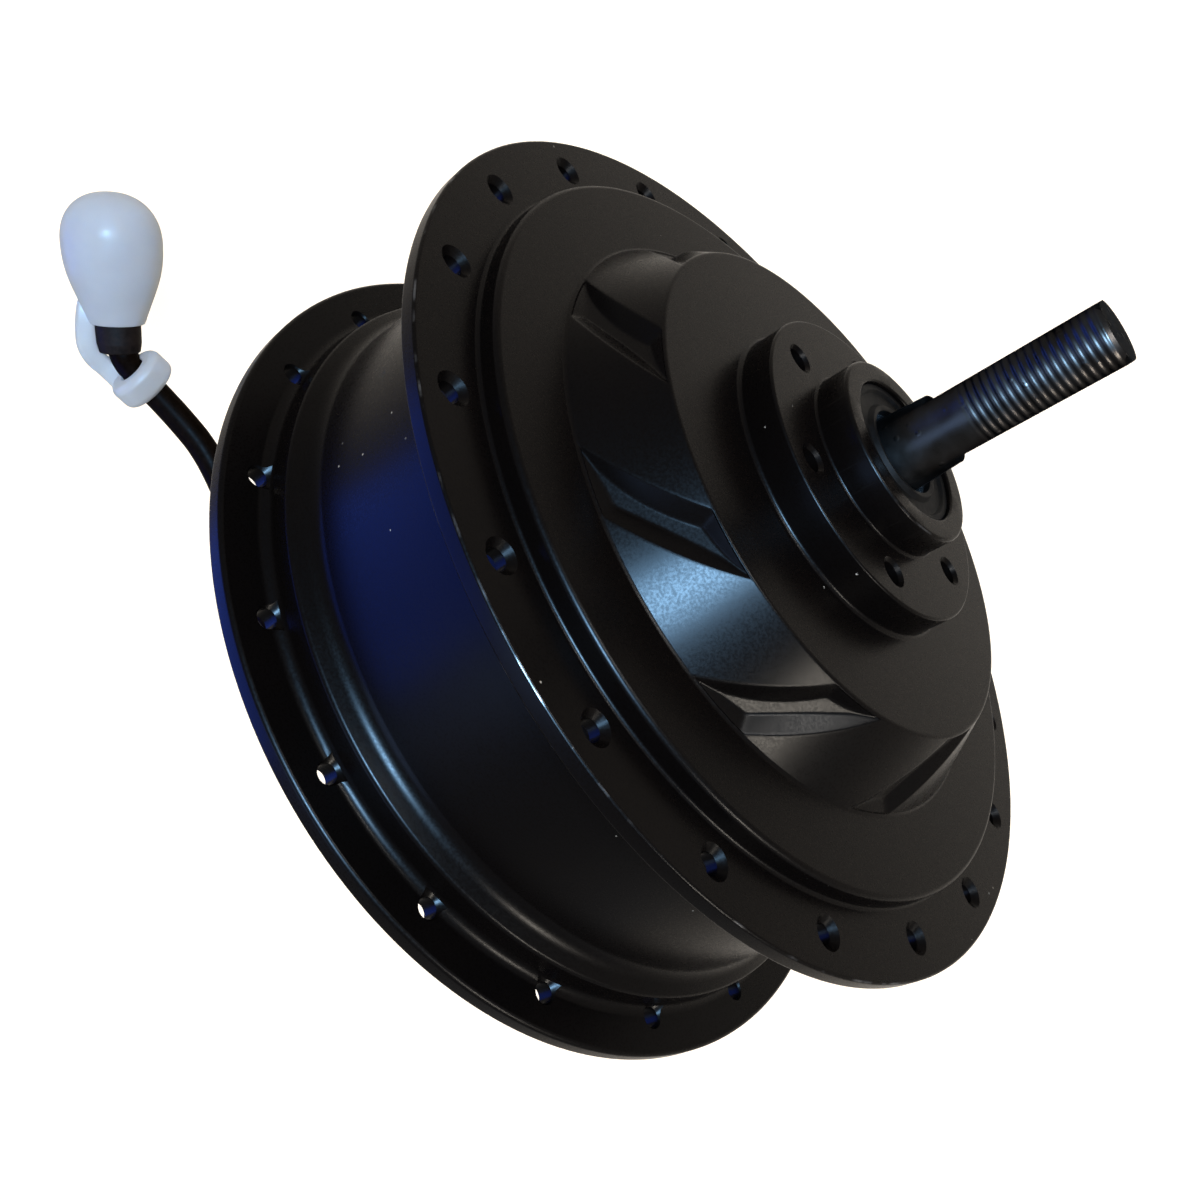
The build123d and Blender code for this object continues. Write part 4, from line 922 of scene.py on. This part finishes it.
def cap_and_strap():
    """The soft dust cap with its strap, and the collar that holds it to the cable."""
    end, way = plug_line()
    cap = piece_along("dust_cap", end, way, cap_outline(0.0) + cap_outline(CAP_WALL)[::-1], columns=96)
    finished(smoothed(cap, angle=60), "clear_silicone", "root", "connector_cap")

    path = strap_path()
    rings = []
    first = path[1] - path[0]
    wide = first.cross(path[3 * STRAP_STEPS] - path[STRAP_STEPS]).cross(first).normalized()
    for index, point in enumerate(path):
        ahead = (path[min(index + 1, len(path) - 1)] - path[max(index - 1, 0)]).normalized()
        wide = (wide - ahead * wide.dot(ahead)).normalized()
        thin = ahead.cross(wide)
        for side in range(STRAP_SIDES):
            turn = 2 * pi * side / STRAP_SIDES
            across = np.sign(cos(turn)) * abs(cos(turn)) ** STRAP_SQUARE[0] * STRAP_W / 2 * MM
            through = np.sign(sin(turn)) * abs(sin(turn)) ** STRAP_SQUARE[1] * STRAP_T / 2 * MM
            rings.append(tuple(point + wide * across + thin * through))
    faces = ring_faces(len(path), STRAP_SIDES, False)
    faces += [tuple(range(STRAP_SIDES)), tuple(range(len(rings) - STRAP_SIDES, len(rings)))]
    strap = mesh_piece("cap_strap_loop", rings, faces)
    before, here, after = (Vector(point) for point in CABLE_ROUTE[-4:-1])
    collar_way = (COLLAR_LEAN + (here - before).normalized() + (after - here).normalized()).normalized()
    half = COLLAR_W / 2
    collar = piece_along("collar", here, collar_way, rounded([
        (COLLAR_BORE_R, -half, 0.3), (COLLAR_R, -half, 2.0),
        (COLLAR_R, half, 2.0), (COLLAR_BORE_R, half, 0.3)], finest=6))
    cut(strap, collar, "UNION")
    finished(smoothed(strap, angle=60), "clear_silicone", "root", "cap_strap")
    return cap, strap


def dress_inner_works():
    """Give each solid that is shown as it is its real finish."""
    slots = {part["node"]: part["material_slot"] for part in frame["record"]["subparts"]}
    for name, node in frame["nodes"].items():
        if node.hide_render:
            continue
        node.data.materials.clear()
        node.data.materials.append(made[slots[name]])


def soft_lamp(name, way, size, power, colour, only_reflected=False):
    """A round soft lamp aimed at the motor; one that is only reflected adds shine but no light."""
    lamp = bpy.data.lights.new(name, "AREA")
    lamp.shape = "DISK"
    lamp.size, lamp.energy, lamp.color = size, power, linear(colour)[:3]
    stand = in_scene(name, lamp)
    stand.location = Vector(way).normalized() * LAMP_DISTANCE
    stand.rotation_euler = (-stand.location).to_track_quat("-Z", "Y").to_euler()
    stand.visible_diffuse = stand.visible_transmission = not only_reflected


def seen_rays(tree):
    """1 for rays from the camera, from glossy surfaces and through clear ones, which see the background."""
    rays = add_node(tree, "ShaderNodeLightPath")
    seen = add_node(tree, "ShaderNodeMath", {
        0: rays.outputs["Is Camera Ray"], 1: rays.outputs["Is Glossy Ray"]}, operation="MAXIMUM")
    return add_node(tree, "ShaderNodeMath", {
        0: seen, 1: rays.outputs["Is Transmission Ray"]}, operation="MAXIMUM")


def studio(settings):
    """Pale floor, white surroundings, soft lamps and the photograph's camera."""
    floor_mesh = bpy.data.meshes.new("floor")
    form = bmesh.new()
    bmesh.ops.create_circle(form, cap_ends=True, segments=64, radius=FLOOR_R,
                            matrix=Matrix.Translation((0, 0, cad_box[0].z - FLOOR_GAP)))
    form.to_mesh(floor_mesh)
    form.free()
    floor = in_scene("floor", floor_mesh)
    paper = bpy.data.materials.new("pale_studio_floor")
    paper.use_nodes = True
    tree = paper.node_tree
    tree.nodes.clear()
    matt = add_node(tree, "ShaderNodeBsdfDiffuse", {"Color": settings.floor_colour})
    level = add_node(tree, "ShaderNodeMath", {
        0: seen_rays(tree), 1: settings.floor_glow}, operation="MULTIPLY")
    glow = add_node(tree, "ShaderNodeEmission", {"Color": (1, 1, 1, 1), "Strength": level})
    both = add_node(tree, "ShaderNodeAddShader", {0: matt, 1: glow})
    add_node(tree, "ShaderNodeOutputMaterial", {"Surface": both})
    floor_mesh.materials.append(paper)

    world = bpy.data.worlds.new("white_studio")
    bpy.context.scene.world = world
    world.use_nodes = True
    tree = world.node_tree
    tree.nodes.clear()
    level = add_node(tree, "ShaderNodeMapRange", {
        "Value": seen_rays(tree), "To Min": settings.room_light, "To Max": 1.0})
    sky = add_node(tree, "ShaderNodeBackground", {"Color": (1, 1, 1, 1), "Strength": level})
    add_node(tree, "ShaderNodeOutputWorld", {"Surface": sky})

    soft_lamp("window_lamp", (0.10, 0.63, 0.77), 0.45, settings.window_power, "#E0EBFC")
    for name, way, size, share, colour in (
            ("window_sheen", (0.04, 0.63, 0.77), 0.32, 1.0, "#9AD0FF"),
            ("sky_sheen", (-0.53, -0.66, 0.54), 1.15, 0.20, "#0A54F0"),
            ("ceiling_sheen", (-0.02, -0.38, 0.92), 0.70, 0.08, "#8FB4F0"),
            ("side_sheen", (0.80, 0.47, 0.38), 0.26, 0.12, "#FFF6E8"),
            ("front_sheen", (0.08, 0.97, 0.22), 0.28, 0.10, "#F8F6F2")):
        soft_lamp(name, way, size, settings.sheen_power * share, colour, True)

    # The camera's lens, turn and place were fitted to circles and edges of the photograph
    lens = bpy.data.cameras.new("photo_camera")
    lens.lens, lens.sensor_width = 37.55, 36.0
    lens.clip_start, lens.clip_end = 0.01, 20.0
    camera = in_scene("photo_camera", lens)
    right, up = Vector((0.5008, 0.7160, -0.4863)), Vector((-0.8655, 0.4143, -0.2814))
    back = Vector((0.0, 0.5618, 0.8272))
    camera.matrix_world = Matrix((right, up, back)).transposed().to_4x4()
    camera.location = (-0.0038, 0.1114, 0.1990)
    bpy.context.scene.camera = camera
    bpy.context.scene.view_settings.view_transform = "Standard"


def colour_setting(name, description, hex_colour):
    """A colour that the user can change."""
    return bpy.props.FloatVectorProperty(
        name=name, description=description, subtype="COLOR", size=4, min=0.0, max=1.0,
        default=linear(hex_colour))


def share_setting(name, description, default):
    """A share from none to all that the user can change."""
    return bpy.props.FloatProperty(
        name=name, description=description, default=default, min=0.0, max=1.0, subtype="FACTOR")


def size_setting(name, description, default_mm):
    """A length that the user can change, written in millimetres."""
    return bpy.props.FloatProperty(name=name, description=description, default=default_mm * MM, unit="LENGTH")


class ShellSettings(bpy.types.PropertyGroup):
    paint: colour_setting("Paint", "Tone of the satin paint", "#060505")
    paint_high: colour_setting("Paint, lighter", "Lighter mottle of the paint", "#0B0807")
    bare_metal: colour_setting("Bare metal", "Metal where the paint has rubbed off", "#8F8F90")
    roughness: share_setting("Roughness", "How broad the paint's sheen is", 0.29)
    sheen: share_setting("Sheen", "How strongly the paint mirrors the room", 0.02)
    wear_width: size_setting("Wear width", "Width of the rubbed line on an edge", 0.34)
    edge_radius: size_setting("Edge radius", "Rounding of the flange rims", 0.5)
    pocket_depth: size_setting("Pocket depth", "Depth of the cone's pockets", 1.8)
    spoke_hole: size_setting("Spoke hole", "Diameter of a spoke hole", 3.5)
    countersink: size_setting("Countersink", "Diameter of a spoke hole's countersink", 5.6)
    screw_head: size_setting("Screw head", "Diameter of a cover screw's head", 5.2)


class AxleSettings(bpy.types.PropertyGroup):
    steel: colour_setting("Steel", "Tone of the blackened steel", "#121110")
    steel_high: colour_setting("Steel, lighter", "Where the blackening is thin", "#232120")
    thread_pitch: size_setting("Thread pitch", "Distance between thread crests", 1.25)
    thread_depth: size_setting("Thread depth", "Depth of the thread's groove", 0.15)


class LeadSettings(bpy.types.PropertyGroup):
    silicone: colour_setting("Silicone", "Tone of the dust cap", "#CDD5DF")
    silicone_deep: colour_setting("Silicone, deeper", "Deeper tone of the dust cap", "#BCC4CD")
    see_through: share_setting("See-through", "Share of light that passes the silicone's wall", 0.25)


class StudioSettings(bpy.types.PropertyGroup):
    floor_colour: colour_setting("Floor", "Colour of the floor", "#DCC4A2")
    floor_glow: bpy.props.FloatProperty(
        name="Floor glow", description="Light that the floor adds for the camera and reflections",
        default=0.79, min=0.0)
    room_light: bpy.props.FloatProperty(
        name="Room light", description="Level of the surroundings as a light", default=0.55, min=0.0)
    window_power: bpy.props.FloatProperty(
        name="Window lamp", description="Power of the main lamp", default=13.0, unit="POWER")
    sheen_power: bpy.props.FloatProperty(
        name="Sheen", description="Power of the window that the paint mirrors", default=285.0, unit="POWER")


class HUBMOTOR_OT_finishes(bpy.types.Operator):
    """Make the finish of every material slot"""
    bl_idname = "hubmotor.finishes"
    bl_label = "Finishes"

    def execute(self, context):
        make_finishes(context.scene)
        return {"FINISHED"}


class HUBMOTOR_OT_shell(bpy.types.Operator):
    """Build the cast shell with its pockets and drilled holes"""
    bl_idname = "hubmotor.shell"
    bl_label = "Shell Casting"

    def execute(self, context):
        shell_casting(context.scene.hub_motor_shell)
        return {"FINISHED"}


class HUBMOTOR_OT_cover(bpy.types.Operator):
    """Build the side cover and its screws"""
    bl_idname = "hubmotor.cover"
    bl_label = "Side Cover and Screws"

    def execute(self, context):
        cover_casting()
        cover_screws(context.scene.hub_motor_shell)
        return {"FINISHED"}


class HUBMOTOR_OT_seals(bpy.types.Operator):
    """Build the two shaft seals"""
    bl_idname = "hubmotor.seals"
    bl_label = "Shaft Seals"

    def execute(self, context):
        lip_seal("near_lip_seal", "near_seal", MOUTH_R, NEAR_JOURNAL_R, MOUTH_FLOOR, NEAR_SEAL_FACE, 1)
        lip_seal("far_lip_seal", "far_seal", FAR_MOUTH_R, FAR_JOURNAL_R, FAR_SEAL_FACE, FAR_MOUTH_FLOOR, -1)
        return {"FINISHED"}


class HUBMOTOR_OT_axle(bpy.types.Operator):
    """Build the axle with its threads and flats"""
    bl_idname = "hubmotor.axle"
    bl_label = "Axle"

    def execute(self, context):
        axle_bar(context.scene.hub_motor_axle)
        return {"FINISHED"}


class HUBMOTOR_OT_lead(bpy.types.Operator):
    """Build the cable, grommet, connector, dust cap and strap"""
    bl_idname = "hubmotor.lead"
    bl_label = "Cable and Connector"

    def execute(self, context):
        lead, grommet = cable_and_grommet()
        boot, plug = connector()
        cap, strap = cap_and_strap()
        return {"FINISHED"}


class HUBMOTOR_OT_works(bpy.types.Operator):
    """Finish the solids inside the motor"""
    bl_idname = "hubmotor.works"
    bl_label = "Inner Works"

    def execute(self, context):
        dress_inner_works()
        return {"FINISHED"}


class HUBMOTOR_OT_studio(bpy.types.Operator):
    """Set up the floor, the lamps and the camera"""
    bl_idname = "hubmotor.studio"
    bl_label = "Studio"

    def execute(self, context):
        studio(context.scene.hub_motor_studio)
        return {"FINISHED"}


class HUBMOTOR_PT_panel(bpy.types.Panel):
    """Lists the motor's pieces and their sizes in the sidebar"""
    bl_label = "Hub Motor"
    bl_idname = "HUBMOTOR_PT_panel"
    bl_space_type = "VIEW_3D"
    bl_region_type = "UI"
    bl_category = "Hub Motor"

    def draw(self, context):
        layout = self.layout
        for operator in operators:
            layout.operator(operator.bl_idname)
        for group in groups:
            settings = getattr(context.scene, group)
            box = layout.box()
            for name in settings.__annotations__:
                box.prop(settings, name)


operators = (
    HUBMOTOR_OT_finishes,
    HUBMOTOR_OT_shell,
    HUBMOTOR_OT_cover,
    HUBMOTOR_OT_seals,
    HUBMOTOR_OT_axle,
    HUBMOTOR_OT_lead,
    HUBMOTOR_OT_works,
    HUBMOTOR_OT_studio,
)
groups = {
    "hub_motor_shell": ShellSettings,
    "hub_motor_axle": AxleSettings,
    "hub_motor_lead": LeadSettings,
    "hub_motor_studio": StudioSettings,
}


def register():
    for name, group in groups.items():
        bpy.utils.register_class(group)
        setattr(bpy.types.Scene, name, bpy.props.PointerProperty(type=group))
    for operator in operators:
        bpy.utils.register_class(operator)
    bpy.utils.register_class(HUBMOTOR_PT_panel)


def unregister():
    bpy.utils.unregister_class(HUBMOTOR_PT_panel)
    for operator in reversed(operators):
        bpy.utils.unregister_class(operator)
    for name, group in groups.items():
        delattr(bpy.types.Scene, name)
        bpy.utils.unregister_class(group)


def main():
    register()
    bpy.ops.hubmotor.finishes()
    bpy.ops.hubmotor.shell()
    bpy.ops.hubmotor.cover()
    bpy.ops.hubmotor.seals()
    bpy.ops.hubmotor.axle()
    bpy.ops.hubmotor.lead()
    bpy.ops.hubmotor.works()
    bpy.ops.hubmotor.studio()


if __name__ == "__main__":
    main()
